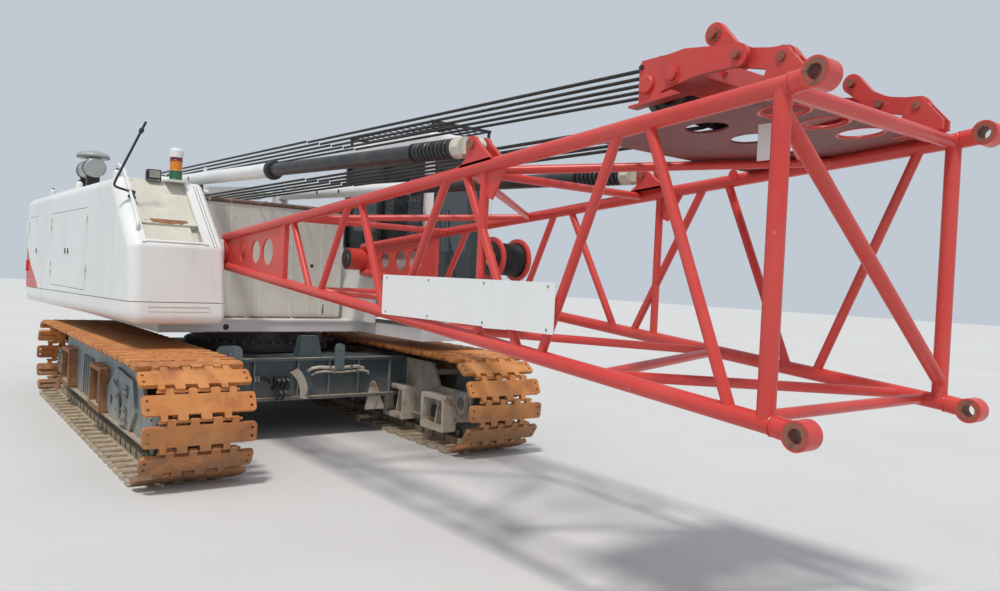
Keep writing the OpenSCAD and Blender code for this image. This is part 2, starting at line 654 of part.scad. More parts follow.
// Foot plate holes: place along the boom and diameter
foot_holes = [[1410, 156], [1710, 198], [1970, 225]];
foot_post_x = 2300;
foot_boss_r = 112;
foot_boss_in = 535;
module boom_chords(s) color(red) upper() side(s) difference() {
    union() {
        for (k = [-1, 1]) {
            chord(1, k);
            bar(node_at(chord_end - 8, 1, k), [boom_end, chord_y, boom_z + k * boom_height / 2], chord_r + 4);
            cross_bar(boom_end, chord_y - lug_width / 2, chord_y + lug_width / 2,
                boom_z + k * boom_height / 2, lug_r);
        }
        // Foot plate, its upright post and the boss round the foot pin
        plate_xz([[foot_x, boom_z - half(foot_x)], [foot_post_x, boom_z - half(foot_post_x)],
            [foot_post_x, boom_z + half(foot_post_x)], [foot_x, boom_z + half(foot_x)]], chord_y - 8, 16);
        plate_xz([[foot_post_x - 30, boom_z - half(foot_post_x)],
            [foot_post_x + 30, boom_z - half(foot_post_x)],
            [foot_post_x + 30, boom_z + half(foot_post_x)], [foot_post_x - 30, boom_z + half(foot_post_x)]],
            chord_y - 20, 40);
        cross_bar(foot_x, foot_boss_in, chord_y + chord_r, boom_z, foot_boss_r);
    }
    for (h = foot_holes) cross_bar(h[0], chord_y - 20, chord_y + 20, boom_z, h[1] / 2);
    cross_bar(foot_x, foot_boss_in - eps, chord_y + chord_r + eps, boom_z, foot_pin_r + fit);
    for (k = [-1, 1]) cross_bar(boom_end, chord_y - lug_width, chord_y + lug_width,
        boom_z + k * boom_height / 2,
        lug_bore / 2);
}
module boom_chords_right() boom_chords(-1);
module boom_chords_left() boom_chords(1);

// Lacing of a side: stations along the top and the bottom chord, taken in turn
side_top = [2350, 3450, 4660, 6010];
side_bottom = [2880, 3990, 5370, 6680];
brace_post_x = 4930;
end_post_x = chord_end - 50;
end_post_r = chord_r - 2;
end_tube_x = chord_end - 130;
top_tube_drop = 8;
reel_z = 1745;
lace_apart = 85;
function node_xz(x) = [x, boom_z + half(x)];
module coped(s) difference() {
    children();
    for (k = [-1, 1]) chord(s, k);
}
module side_lacing(s) {
    for (i = [0 : len(side_top) - 1]) coped(s)
        bar(node_at(side_top[i] + lace_apart, s, 1), node_at(side_bottom[i] - lace_apart, s, -1), lace_r);
    for (i = [0 : len(side_top) - 2]) coped(s)
        bar(node_at(side_bottom[i] + lace_apart, s, -1), node_at(side_top[i + 1] - lace_apart, s, 1), lace_r);
    coped(s) bar(node_at(end_post_x, s, 1), node_at(end_post_x, s, -1), end_post_r);
    coped(s) {
        bar(node_at(brace_post_x, s, 1), node_at(brace_post_x, s, -1), lace_r);
        plate_xz([node_xz(brace_post_x), node_xz(brace_post_x + 210), [brace_post_x + 75, 2060],
            [brace_post_x, 2090]], s * chord_y - 6, 12);
        if (s < 0) cross_bar(brace_post_x, -chord_y, -440, reel_z, 12);
    }
}
module boom_lacing_right() color(red) upper() side_lacing(-1);
module boom_lacing_left() color(red) upper() side_lacing(1);

// Lacing of the top and bottom faces: station on the right chord, station on the left chord
top_ties = [[2500, 2500], [2500, 3600], [4780, 3600], [4780, 4780], [4780, 6150]];
bottom_ties = [[2760, 2760], [2760, 3870], [5240, 3870], [5240, 6560]];
module face_lacing(ties, k) difference() {
    for (t = ties) bar(node_at(t[0], -1, k), node_at(t[1], 1, k), lace_r);
    for (s = [-1, 1]) chord(s, k);
}
module boom_lacing_top() color(red) upper() {
    face_lacing(top_ties, 1);
    // Tube across the boom's end
    difference() {
        bar(node_at(end_post_x, -1, 1) - [0, 0, top_tube_drop],
            node_at(end_post_x, 1, 1) - [0, 0, top_tube_drop],
            end_post_r - 4);
        for (s = [-1, 1]) {
            chord(s, 1);
            translate([end_post_x, s * chord_y, boom_z]) cylinder(h = 900, r = end_post_r + 0.3);
        }
    }
}
module boom_lacing_bottom() color(red) upper() {
    face_lacing(bottom_ties, -1);
    difference() {
        bar(node_at(end_tube_x, -1, -1), node_at(end_tube_x, 1, -1), lace_r);
        for (s = [-1, 1]) chord(s, -1);
    }
    // Diagonal across the boom's end
    difference() {
        bar([end_post_x, -chord_y, boom_z + half(end_post_x) - 95],
            [end_post_x, chord_y, boom_z - half(end_post_x) + 95], end_post_r - 3);
        for (s = [-1, 1]) translate([end_post_x, s * chord_y, boom_z - 800])
            cylinder(h = 1600, r = end_post_r);
    }
}

// Deck plate between the top chords, and the brackets of the backstops and harp links
deck_x = [5620, 6680];
deck_lift = lace_r + 2;
link_x = [6370, 6715];
link_z = [2660, 2520];
link_y = 710;
link_t = 30;
link_pin_r = 20;

// Point in X and Z just above a top chord's lacing
function chord_top(x) = [x, boom_z + half(x) + lace_r + 5];
module on_top_face() translate([foot_x, 0, boom_z + foot_half]) rotate([0, -taper_angle, 0]) children();
module boom_deck() color(red) upper() {
    difference() {
        on_top_face() difference() {
            translate([(deck_x[0] - foot_x) / cos(taper_angle), -chord_y, deck_lift])
                cube([(deck_x[1] - deck_x[0]) / cos(taper_angle), 2 * chord_y, 10]);
            for (x = [deck_x[0] + 200, deck_x[1] - 300], y = [-420, 0, 420])
                translate([(x - foot_x) / cos(taper_angle), y, deck_lift - eps]) cylinder(h = 20, r = 110);
        }
        for (s = [-1, 1]) chord(s, 1);
    }
    for (s = [-1, 1]) side(s) {
        for (y = [link_y - 26, link_y + link_t + 6]) difference() {
            plate_xz([chord_top(link_x[1] - 110), chord_top(chord_end - 20),
                chord_top(chord_end - 20) + [0, 45],
                [link_x[1] + 36, link_z[1] + 36], [link_x[1] - 36, link_z[1] + 36]], y, 20);
            chord(1, 1);
        }
        cross_bar(link_x[1], link_y - 34, link_y + link_t + 34, link_z[1], link_pin_r);
    }
    // Brackets of the backstops: two plates on a saddle, with a pin stub on each plate
    for (s = [-1, 1]) side(s) {
        difference() {
            union() {
                for (y = [stop_y - 57, stop_y + 32]) plate_xz([chord_top(stop_head_x - 115),
                    chord_top(stop_head_x + 190), [stop_head_x + 42, stop_head_z + 42],
                    [stop_head_x - 38, stop_head_z + 42], [stop_head_x - 46, stop_head_z - 75]], y, 25);
                plate_xz([chord_top(stop_head_x - 115), chord_top(stop_head_x + 190),
                    chord_top(stop_head_x + 190) + [0, 14], chord_top(stop_head_x - 115) + [0, 14]],
                    stop_y - 57, 114);
            }
            chord(1, 1);
        }
        for (y = [stop_y - 72, stop_y + 57]) cross_bar(stop_head_x, y, y + 15, stop_head_z, head_pin_r + 8);
    }
}

// Harp: box with the boom hoist's sheaves and links to the boom's end
harp_x = [5660, 6420];
harp_y = 420;
function deck_surface(x) = boom_z + half(x) + (deck_lift + 10) / cos(taper_angle) + 0.3;
harp_axle_x = 5800;
harp_axle_z = 2610;
harp_sheave_r = 130;
module harp() color(red) upper() difference() {
    union() {
        // Side plates, each with an arm that rises to the links' pin
        for (y = [-harp_y, harp_y - 20]) {
            plate_xz([[harp_x[0], 2500], [harp_x[0] + 120, deck_surface(harp_x[0] + 120)],
                [harp_x[1] - 170, deck_surface(harp_x[1] - 170)], [harp_x[1] - 130, 2596],
                [link_x[0], link_z[0] - 46], [link_x[0], link_z[0] + 46], [harp_x[1] - 360, 2742],
                [harp_x[0] + 60, 2750], [harp_x[0], 2700]], y, 20);
            cross_bar(link_x[0], y, y + 20, link_z[0], 56);
        }
        translate([harp_x[0] + 340, -harp_y + 19, 2520]) cube([330, 2 * harp_y - 38, 200]);
        cross_bar(harp_axle_x, -harp_y - 20, harp_y + 20, harp_axle_z, 40);
        cross_bar(link_x[0], -link_y - link_t - 20, link_y + link_t + 20, link_z[0], link_pin_r);
    }
}
module harp_sheaves() color(black) upper() difference() {
    for (i = [0 : sheave_count - 1]) cross_bar(harp_axle_x, (i - 2) * 130 - 50, (i - 2) * 130 + 50,
        harp_axle_z, harp_sheave_r);
    cross_bar(harp_axle_x, -400, 400, harp_axle_z, 40 + fit);
}
module harp_links() color(red) upper() for (s = [-1, 1]) side(s) difference() {
    bar_plate([link_x[0], link_z[0]], [link_x[1], link_z[1]], 50, link_y, link_t);
    for (i = [0, 1]) cross_bar(link_x[i], link_y - 50, link_y + 80, link_z[i], link_pin_r + fit);
}

// Boom hoist ropes over and under both sheave stacks: a rear half on the upperworks and a front half
// on the boom, which lie side by side where they meet
rope_r = 9;
rope_pitch = 120;
rope_meet = [1550, 1600];
rope_side = 12;
module hoist_ropes(x0, x1, shift) for (i = [0 : sheave_count - 1], k = [-1, 1]) {
    rear = [peak_x, 0, peak_z + k * (sheave_r + rope_r + 0.3)];
    front = [harp_axle_x, 0, harp_axle_z + k * (harp_sheave_r + rope_r + 0.3)];
    slope = (front - rear) / (front[0] - rear[0]);
    across = [0, (i - (sheave_count - 1) / 2) * rope_pitch + shift, 0];
    bar(rear + slope * (x0 - rear[0]) + across, rear + slope * (x1 - rear[0]) + across, rope_r);
}
module hoist_ropes_rear() color(black) upper() hoist_ropes(peak_x, rope_meet[1], -rope_side);
module hoist_ropes_front() color(black) upper() hoist_ropes(rope_meet[0], harp_axle_x, rope_side);

// A flat link from a to b in X and Z with round ends
module bar_plate(a, b, r, y0, t) {
    for (p = [a, b]) cross_bar(p[0], y0, y0 + t, p[1], r);
    d = b - a;
    n = [-d[1], d[0]] / norm(d) * r * 0.6;
    plate_xz([a + n, b + n, b - n, a - n], y0, t);
}

// Cable reel and sign plate on the boom's right side
module cable_reel() color(red) upper() difference() {
    union() {
        for (y = [-660, -480]) cross_bar(brace_post_x, y, y + 15, reel_z, 120);
        cross_bar(brace_post_x, -650, -475, reel_z, 80);
    }
    cross_bar(brace_post_x, -700, -400, reel_z, 12 + fit);
}
sign_size = [1640, 4, 250];
module sign_plate() color("white") upper()
    translate([3930, -chord_y - chord_r - sign_size[1], 1375]) cube(sign_size);

carbody();
slew_ring();
track_frame_right();
track_frame_left();
track_right();
track_left();
track_wheels_right();
track_wheels_left();
deck_frame();
winch_frame();
front_wall();
house_right();
house_left();
house_door_rear();
house_door_middle();
house_door_front();
engine();
cab_shell();
cab_door();
cab_glass();
cab_guards();
cab_seat();
hoist_drum_front();
hoist_drum_rear();
boom_hoist_drum();
gantry();
gantry_sheaves();
backstop_tube_right();
backstop_tube_left();
backstop_rod_right();
backstop_rod_left();
air_cleaner();
roof_fittings();
mirror_arm();
boom_chords_right();
boom_chords_left();
boom_lacing_right();
boom_lacing_left();
boom_lacing_top();
boom_lacing_bottom();
boom_deck();
harp();
harp_sheaves();
harp_links();
hoist_ropes_rear();
hoist_ropes_front();
cable_reel();
sign_plate();
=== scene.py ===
"""Looks of a parked crawler crane with its boom's base section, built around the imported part."""

import json
import math

import bmesh
import bpy
from mathutils import Matrix, Vector
from mathutils.geometry import tessellate_polygon


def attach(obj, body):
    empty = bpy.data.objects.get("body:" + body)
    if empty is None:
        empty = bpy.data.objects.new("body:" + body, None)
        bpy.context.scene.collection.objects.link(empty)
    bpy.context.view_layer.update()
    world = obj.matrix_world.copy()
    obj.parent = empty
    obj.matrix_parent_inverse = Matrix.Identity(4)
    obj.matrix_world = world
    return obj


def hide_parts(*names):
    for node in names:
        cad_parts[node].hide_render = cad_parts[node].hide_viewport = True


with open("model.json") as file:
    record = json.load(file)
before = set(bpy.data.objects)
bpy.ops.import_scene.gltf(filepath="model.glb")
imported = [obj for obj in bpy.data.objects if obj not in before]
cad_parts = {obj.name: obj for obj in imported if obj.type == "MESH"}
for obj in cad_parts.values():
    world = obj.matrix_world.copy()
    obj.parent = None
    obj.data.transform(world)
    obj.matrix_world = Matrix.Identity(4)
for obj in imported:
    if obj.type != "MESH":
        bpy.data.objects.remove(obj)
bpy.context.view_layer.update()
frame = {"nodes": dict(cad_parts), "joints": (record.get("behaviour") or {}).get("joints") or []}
joints = {joint["name"]: joint for joint in frame["joints"]}
nodes = frame["nodes"]

# Places, in metres ahead of the slew axis, to the left of it and above the ground
SLEW_X = joints["slew"]["pos_m"][0]
UPPER = Matrix.Translation((SLEW_X, 0, 0))
LOWER = UPPER @ Matrix.Rotation(math.radians(-2), 4, "Z")
FOOT_X = joints["boom_luff"]["pos_m"][0] - SLEW_X
BOOM_Z = joints["boom_luff"]["pos_m"][2]
BOOM_END = FOOT_X + 5.95
CHORD_Y = 0.725
CHORD_R = 0.038
LACE_R = 0.025
LACE_APART = 0.085
POST_R = 0.036
BRACE_X = 4.93
FOOT_HALF = 0.13
CHORD_END = BOOM_END - 0.1
TAPER = (0.636 - FOOT_HALF) / (CHORD_END - FOOT_X)
LUG_HALF = 0.65
HOUSE_OUTER = 1.65
HOUSE_INNER = 0.845
HOUSE_FRONT = 1.4
HOUSE_REAR = -3.95
LEFT_FRONT = 0.1
LEAN = 0.78
FOLD_SHARE = 0.12
FOLD_Z = 1.79
ROOF_Z = 2.4
DECK_TOP = 1.12
STOP_BACK = -1.2
STOP_Z = 2.55
STOP_Y = 0.7
STOP_HEAD = (4.83, 2.372)
TUBE_LENGTH = 3.15
TRACK_Y = 1.36
TRACK_HALF = 2.75
TRACK_H = 0.905
SIDES = (("right", -1), ("left", 1))
# Turns of a plate drawn in X and Z: across the crane, and flat
ACROSS = Matrix(((0, 1, 0, 0), (1, 0, 0, 0), (0, 0, 1, 0), (0, 0, 0, 1)))
FLAT = Matrix(((1, 0, 0, 0), (0, 0, 1, 0), (0, 1, 0, 0), (0, 0, 0, 1)))


def half(x):
    """Half of the distance between the boom's chords at a place along it."""
    return FOOT_HALF + TAPER * (x - FOOT_X)


UP = (0, 0, 1)
LEFT = (0, 1, 0)
FORWARD = (1, 0, 0)


def circle(x, z, r, n=24):
    return [(x + r * math.cos(2 * math.pi * k / n), z + r * math.sin(2 * math.pi * k / n)) for k in range(n)]


def arc(x, z, r, start, end, n=8):
    """Points on an arc between two angles in degrees."""
    angles = [math.radians(start + (end - start) * k / n) for k in range(n + 1)]
    return [(x + r * math.cos(a), z + r * math.sin(a)) for a in angles]


def rounded(points, r, n=4):
    """An outline with its corners rounded, r one radius or one for each corner."""
    radii = r if isinstance(r, (list, tuple)) else [r] * len(points)
    result = []
    for i, p in enumerate(points):
        corner = Vector(p)
        before = Vector(points[i - 1]) - corner
        after = Vector(points[(i + 1) % len(points)]) - corner
        angle = before.angle(after)
        reach = min(radii[i] / math.tan(angle / 2), 0.45 * before.length, 0.45 * after.length)
        a = corner + before.normalized() * reach
        b = corner + after.normalized() * reach
        for k in range(n + 1):
            t = k / n
            result.append(tuple(a * (1 - t) ** 2 + corner * 2 * t * (1 - t) + b * t * t))
    return result


def rect(x0, z0, x1, z1, r=0.0):
    """A rectangle between two corners, rounded by r, one radius or one for each corner."""
    corners = [(x0, z0), (x1, z0), (x1, z1), (x0, z1)]
    return rounded(corners, r) if r else corners


def inset(points, d):
    """A convex outline, drawn counterclockwise, with every side moved inward by d."""
    result = []
    for i, p in enumerate(points):
        corner = Vector(p)
        u = (corner - Vector(points[i - 1])).normalized()
        v = (Vector(points[(i + 1) % len(points)]) - corner).normalized()
        n = Vector((-u.y, u.x))
        m = Vector((-v.y, v.x))
        result.append(tuple(corner + (n + m) * d / (1 + n.dot(m))))
    return result


class Shape:
    """Collects the vertices, faces and material numbers of one piece."""

    def __init__(self):
        self.verts = []
        self.faces = []
        self.mats = []

    def add(self, verts, faces, mat=0):
        base = len(self.verts)
        self.verts += [Vector(v) for v in verts]
        self.faces += [[base + i for i in face] for face in faces]
        self.mats += [mat] * len(faces)

    def move(self, start, matrix):
        """Moves every vertex from number start on."""
        for i in range(start, len(self.verts)):
            self.verts[i] = matrix @ self.verts[i]

    def box(self, low, high, mat=0, turn=None):
        """A box between two opposite corners, turned when a matrix is given."""
        (x0, x1), (y0, y1), (z0, z1) = (sorted(ends) for ends in zip(low, high))
        start = len(self.verts)
        corners = [(x, y, z) for z in (z0, z1) for x, y in rect(x0, y0, x1, y1)]
        sides = [(0, 3, 2, 1), (4, 5, 6, 7), (0, 1, 5, 4), (1, 2, 6, 5), (2, 3, 7, 6), (3, 0, 4, 7)]
        self.add(corners, sides, mat)
        if turn:
            self.move(start, turn)

    def loft(self, rings, mat=0, closed=False):
        """Joins rings of equally many points, with a cap on each end unless the rings close."""
        n = len(rings[0])
        count = len(rings)
        faces = []
        for i in range(count if closed else count - 1):
            a, b = i * n, (i + 1) % count * n
            faces += [(a + k, a + (k + 1) % n, b + (k + 1) % n, b + k) for k in range(n)]
        if not closed:
            faces.append(tuple(range(n - 1, -1, -1)))
            faces.append(tuple((count - 1) * n + k for k in range(n)))
        self.add([p for ring in rings for p in ring], faces, mat)

    def path(self, points, r, n=12, mat=0, closed=False):
        """A round tube along points."""
        points = [Vector(p) for p in points]
        last = len(points) - 1
        rings = []
        normal = None
        for i, p in enumerate(points):
            ahead = points[(i + 1) % len(points)] if closed or i < last else p
            behind = points[i - 1] if closed or i > 0 else p
            tangent = (ahead - behind).normalized()
            normal = tangent.orthogonal() if normal is None else normal - tangent * normal.dot(tangent)
            normal.normalize()
            across = tangent.cross(normal)
            angles = [2 * math.pi * k / n for k in range(n)]
            rings.append([p + (normal * math.cos(a) + across * math.sin(a)) * r for a in angles])
        self.loft(rings, mat, closed)

    def lathe(self, centre, axis, profile, n=24, mat=0, hollow=False):
        """A solid of revolution: profile holds (distance along the axis, radius), a loop when hollow."""
        centre = Vector(centre)
        axis = Vector(axis).normalized()
        side = axis.orthogonal().normalized()
        other = axis.cross(side)
        angles = [2 * math.pi * k / n for k in range(n)]
        spokes = [side * math.cos(a) + other * math.sin(a) for a in angles]
        rings = [[centre + axis * s + spoke * max(r, 1e-4) for spoke in spokes] for s, r in profile]
        self.loft(rings, mat, hollow)

    def disc(self, centre, axis, r, height, n=24, mat=0):
        self.lathe(centre, axis, [(0, r), (height, r)], n, mat)

    def hoop(self, centre, axis, r, wire, n=32, mat=0):
        """A ring of round wire."""
        self.lathe(centre, axis, circle(0, r, wire, 8), n, mat, hollow=True)

    def plate(self, outline, t0, t1, mat=0, holes=(), turn=None):
        """A plate in X and Z between two places in Y, with holes as lists of points, turned when asked."""
        loops = [[Vector((x, z, 0)) for x, z in loop] for loop in (outline, *holes)]
        flat = [p for loop in loops for p in loop]
        count = len(flat)
        faces = []
        for a, b, c in tessellate_polygon(loops):
            faces += [(a, b, c), (c + count, b + count, a + count)]
        start = 0
        for loop in loops:
            size = len(loop)
            ring = [(start + k, start + (k + 1) % size) for k in range(size)]
            faces += [(a, b, b + count, a + count) for a, b in ring]
            start += size
        start = len(self.verts)
        self.add([(p.x, t, p.y) for t in sorted((t0, t1)) for p in flat], faces, mat)
        if turn:
            self.move(start, turn)

    def bolts(self, places, axis, r, height, mat=0):
        """Six-sided bolt heads."""
        for place in places:
            self.lathe(place, axis, [(0, r), (height * 0.8, r), (height, r * 0.8)], 6, mat)

    def mesh(self, name, materials, place):
        mesh = bpy.data.meshes.new(name)
        mesh.from_pydata([place @ v for v in self.verts], [], self.faces)
        for material in materials:
            mesh.materials.append(material)
        for polygon, mat in zip(mesh.polygons, self.mats):
            polygon.material_index = mat
        work = bmesh.new()
        work.from_mesh(mesh)
        bmesh.ops.recalc_face_normals(work, faces=work.faces)
        work.to_mesh(mesh)
        work.free()
        return mesh

    def build(self, name, body, materials, slot, replaces=(), place=UPPER, bevel=0.0, segments=2, cuts=(),
            smooth=35):
        """Makes the piece, cuts and softens it, hangs it on its body and hides the parts it replaces."""
        mesh = self.mesh(name, materials, place)
        if cuts:
            mesh = carved(mesh, [cut.mesh("cut", materials, place) for cut in cuts])
            mesh.name = name
        piece = bpy.data.objects.new(name, mesh)
        bpy.context.scene.collection.objects.link(piece)
        mesh.shade_smooth()
        mesh.set_sharp_from_angle(angle=math.radians(smooth))
        if bevel:
            edges = piece.modifiers.new("edges", "BEVEL")
            edges.width = bevel
            edges.segments = segments
            edges.limit_method = "ANGLE"
            edges.angle_limit = math.radians(35)
        if bevel or cuts:
            normals = piece.modifiers.new("normals", "WEIGHTED_NORMAL")
            normals.keep_sharp = True
        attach(piece, body)
        if replaces:
            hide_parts(*replaces)
        return piece


def carved(mesh, tools):
    """The mesh that is left when every tool mesh has been cut from it."""
    scene = bpy.context.scene
    helpers = [bpy.data.objects.new("block", part) for part in (mesh, *tools)]
    for helper in helpers:
        scene.collection.objects.link(helper)
    for tool in helpers[1:]:
        cut = helpers[0].modifiers.new("cut", "BOOLEAN")
        cut.operation = "DIFFERENCE"
        cut.solver = "EXACT"
        cut.object = tool
    state = bpy.context.evaluated_depsgraph_get()
    result = bpy.data.meshes.new_from_object(helpers[0].evaluated_get(state))
    for helper in helpers:
        bpy.data.objects.remove(helper)
    return result


def soft_sided(ring, inner, outer, r_inner, r_outer, steps):
    """A body of cross sections ring(y, inset), with its edges rounded toward both sides."""
    angles = [math.pi / 2 * k / steps for k in range(steps + 1)]
    bends = [(1 - math.sin(a), 1 - math.cos(a)) for a in angles]
    shape = Shape()
    shape.loft([ring(inner + r_inner * along, r_inner * down) for along, down in reversed(bends)]
        + [ring(outer - r_outer * along, r_outer * down) for along, down in bends])
    return shape


# Materials: a base colour, then layers of noise as (colour, scale, stretch if uneven, low, high, strength)
def surface(name, base, layers, rough=0.5, metal=0.0, bump=0.0, bump_scale=60.0, dust=None):
    """Dust is (colour, lowest height, highest height, strength), thickest at the lowest height."""
    material = bpy.data.materials.new(name)
    material.use_nodes = True
    tree = material.node_tree
    shader = tree.nodes["Principled BSDF"]
    shader.inputs["Metallic"].default_value = metal
    coord = tree.nodes.new("ShaderNodeTexCoord")

    def noise(scale, stretch=(1, 1, 1)):
        mapping = tree.nodes.new("ShaderNodeMapping")
        mapping.inputs["Scale"].default_value = stretch
        tree.links.new(coord.outputs["Object"], mapping.inputs["Vector"])
        cloud = tree.nodes.new("ShaderNodeTexNoise")
        cloud.inputs["Scale"].default_value = scale
        cloud.inputs["Detail"].default_value = 8
        cloud.inputs["Roughness"].default_value = 0.6
        tree.links.new(mapping.outputs[0], cloud.inputs["Vector"])
        return cloud.outputs[0]

    def ramp(value, low, high, top):
        limit = tree.nodes.new("ShaderNodeMapRange")
        limit.inputs["From Min"].default_value = low
        limit.inputs["From Max"].default_value = high
        limit.inputs["To Max"].default_value = top
        tree.links.new(value, limit.inputs["Value"])
        return limit.outputs[0]

    def cover(below, factor, tint):
        mix = tree.nodes.new("ShaderNodeMix")
        mix.data_type = "RGBA"
        mix.inputs["B"].default_value = (*tint, 1)
        tree.links.new(factor, mix.inputs["Factor"])
        if below is None:
            mix.inputs["A"].default_value = (*base, 1)
        else:
            tree.links.new(below, mix.inputs["A"])
        return mix.outputs["Result"]

    out = None
    for tint, scale, *stretch, low, high, strength in layers:
        last = ramp(noise(scale, *stretch), low, high, strength)
        out = cover(out, last, tint)
    if dust:
        tint, low, high, strength = dust
        parts = tree.nodes.new("ShaderNodeSeparateXYZ")
        tree.links.new(coord.outputs["Object"], parts.inputs[0])
        depth = ramp(parts.outputs["Z"], high, low, strength)
        patchy = tree.nodes.new("ShaderNodeMath")
        patchy.operation = "MULTIPLY"
        tree.links.new(depth, patchy.inputs[0])
        tree.links.new(ramp(noise(7), 0.3, 0.55, 1.0), patchy.inputs[1])
        out = cover(out, patchy.outputs[0], tint)
    tree.links.new(out, shader.inputs["Base Color"])
    sheen = tree.nodes.new("ShaderNodeMapRange")
    sheen.inputs["To Min"].default_value = rough
    sheen.inputs["To Max"].default_value = min(1.0, rough + 0.2)
    tree.links.new(last, sheen.inputs["Value"])
    tree.links.new(sheen.outputs[0], shader.inputs["Roughness"])
    if bump:
        relief = tree.nodes.new("ShaderNodeBump")
        relief.inputs["Strength"].default_value = bump
        relief.inputs["Distance"].default_value = 0.01
        tree.links.new(noise(bump_scale), relief.inputs["Height"])
        tree.links.new(relief.outputs[0], shader.inputs["Normal"])
    return material


STREAK = (5, 5, 0.4)
GRIME = (0.2, 0.17, 0.13)
RUST = (0.23, 0.09, 0.035)
SAND = (0.5, 0.4, 0.27)
WHITE = surface("white", (0.8, 0.8, 0.775), [((0.66, 0.66, 0.63), 1.1, 0.45, 0.75, 0.6),
    ((0.5, 0.46, 0.38), 1.5, STREAK, 0.58, 0.8, 0.35), (RUST, 26, 0.7, 0.74, 0.6)],
    rough=0.33, bump=0.03)
AGED = surface("aged_white", (0.6, 0.57, 0.48), [((0.7, 0.68, 0.6), 3, 0.4, 0.65, 0.8),
    ((0.42, 0.34, 0.22), 5, STREAK, 0.55, 0.78, 0.5), (RUST, 16, 0.66, 0.7, 0.6)], rough=0.55, bump=0.1)
RED = surface("red", (0.62, 0.05, 0.04), [((0.7, 0.11, 0.085), 1.3, 0.45, 0.7, 0.7),
    ((0.46, 0.035, 0.03), 2.6, 0.5, 0.75, 0.6), ((0.75, 0.3, 0.24), 30, 0.66, 0.72, 0.5),
    ((0.2, 0.08, 0.06), 38, 0.69, 0.73, 0.7)], rough=0.34, bump=0.04)
# Warmer white of the front wall, darkened as painted shade for the shadows of the boom and ropes on it
SHADED_CREAM_WHITE = surface("cream_white_painted_shade", (0.72, 0.7, 0.62), [((0.62, 0.6, 0.52), 1.2, 0.42, 0.7, 0.7),
    ((0.45, 0.4, 0.3), 2.2, STREAK, 0.56, 0.8, 0.45), (RUST, 24, 0.68, 0.72, 0.7)],
    rough=0.45, bump=0.05)
RAIL = surface("rusty_rail", (0.16, 0.1, 0.075), [((0.62, 0.58, 0.5), 9, (1, 1.6, 1), 0.56, 0.6, 0.9),
    ((0.28, 0.13, 0.07), 14, 0.5, 0.62, 0.8)], rough=0.6, bump=0.3)
SLATE = surface("slate", (0.13, 0.17, 0.18), [((0.25, 0.28, 0.28), 1.8, 0.45, 0.72, 0.7),
    ((0.34, 0.32, 0.28), 3, STREAK, 0.52, 0.8, 0.5), (RUST, 9, 0.6, 0.68, 0.75)],
    rough=0.5, bump=0.12, dust=((0.42, 0.35, 0.25), 0.2, 0.5, 0.75))
# Slate darkened as painted shade, for the carbody and track wheels in the shade under the house, with lighter
# grime and dust on it
SHADED_SLATE = surface("painted_shade_slate", (0.055, 0.08, 0.09), [((0.15, 0.18, 0.18), 2.4, 0.48, 0.75, 0.6),
    (GRIME, 6, 0.55, 0.75, 0.5), (RUST, 12, 0.64, 0.7, 0.5)], rough=0.5, bump=0.12,
    dust=((0.3, 0.26, 0.2), 0.3, 0.6, 0.5))
RUSTY = surface("rusty", (0.55, 0.2, 0.05), [((0.66, 0.3, 0.1), 3, 0.42, 0.66, 0.8),
    ((0.27, 0.085, 0.03), 4, 0.5, 0.72, 0.8), ((0.55, 0.38, 0.22), 22, 0.6, 0.72, 0.5),
    ((0.12, 0.06, 0.035), 34, 0.62, 0.7, 0.7)],
    rough=0.72, bump=0.4, bump_scale=80, dust=((0.22, 0.13, 0.08), 0.1, 0.6, 0.9))
BROWN = surface("brown_rust", (0.25, 0.11, 0.05), [((0.42, 0.22, 0.1), 5, 0.45, 0.65, 0.8),
    ((0.1, 0.06, 0.04), 9, 0.52, 0.7, 0.8), (SAND, 5, STREAK, 0.56, 0.8, 0.6)], rough=0.8, bump=0.35)
DUSTY = surface("dusty_steel", (0.42, 0.35, 0.26), [(SAND, 4, 0.4, 0.6, 0.8),
    ((0.18, 0.15, 0.12), 8, 0.5, 0.7, 0.7), (RUST, 14, 0.6, 0.7, 0.6)], rough=0.85, bump=0.4)
# Dark red of the boom's deck plate: painted shade for the shade under the deck
SHADED_RED = surface("painted_shade_red", (0.15, 0.02, 0.018), [((0.24, 0.035, 0.03), 3, 0.45, 0.7, 0.7),
    ((0.14, 0.05, 0.035), 9, 0.55, 0.7, 0.6)], rough=0.5, bump=0.06)
WORN = surface("worn_steel", (0.3, 0.11, 0.07), [((0.45, 0.08, 0.06), 14, 0.48, 0.58, 0.8),
    ((0.14, 0.08, 0.06), 22, 0.54, 0.62, 0.8), ((0.4, 0.3, 0.22), 40, 0.62, 0.68, 0.6)],
    rough=0.6, metal=0.2, bump=0.25)
FAR_SLATE = surface("dusty_slate", (0.23, 0.24, 0.22), [((0.4, 0.36, 0.29), 3, 0.42, 0.66, 0.8),
    ((0.13, 0.15, 0.15), 5, 0.5, 0.72, 0.6), (RUST, 9, 0.56, 0.66, 0.8)], rough=0.7, bump=0.25)
CREAM = surface("cream", (0.55, 0.5, 0.42), [((0.4, 0.33, 0.25), 4, 0.45, 0.7, 0.8),
    (RUST, 9, 0.55, 0.66, 0.8)], rough=0.7, bump=0.25)
DARK = surface("dark", (0.035, 0.035, 0.037), [((0.12, 0.09, 0.065), 5, 0.5, 0.75, 0.7),
    ((0.01, 0.01, 0.01), 14, 0.5, 0.7, 0.6)], rough=0.42, metal=0.2, bump=0.1)
STEEL = surface("steel", (0.3, 0.29, 0.28), [((0.12, 0.09, 0.07), 5, 0.5, 0.75, 0.6)], rough=0.35,
    metal=0.8, bump=0.05)
BLACK = surface("black", (0.022, 0.022, 0.024), [((0.07, 0.065, 0.06), 6, 0.5, 0.8, 0.5)], rough=0.45,
    bump=0.05)
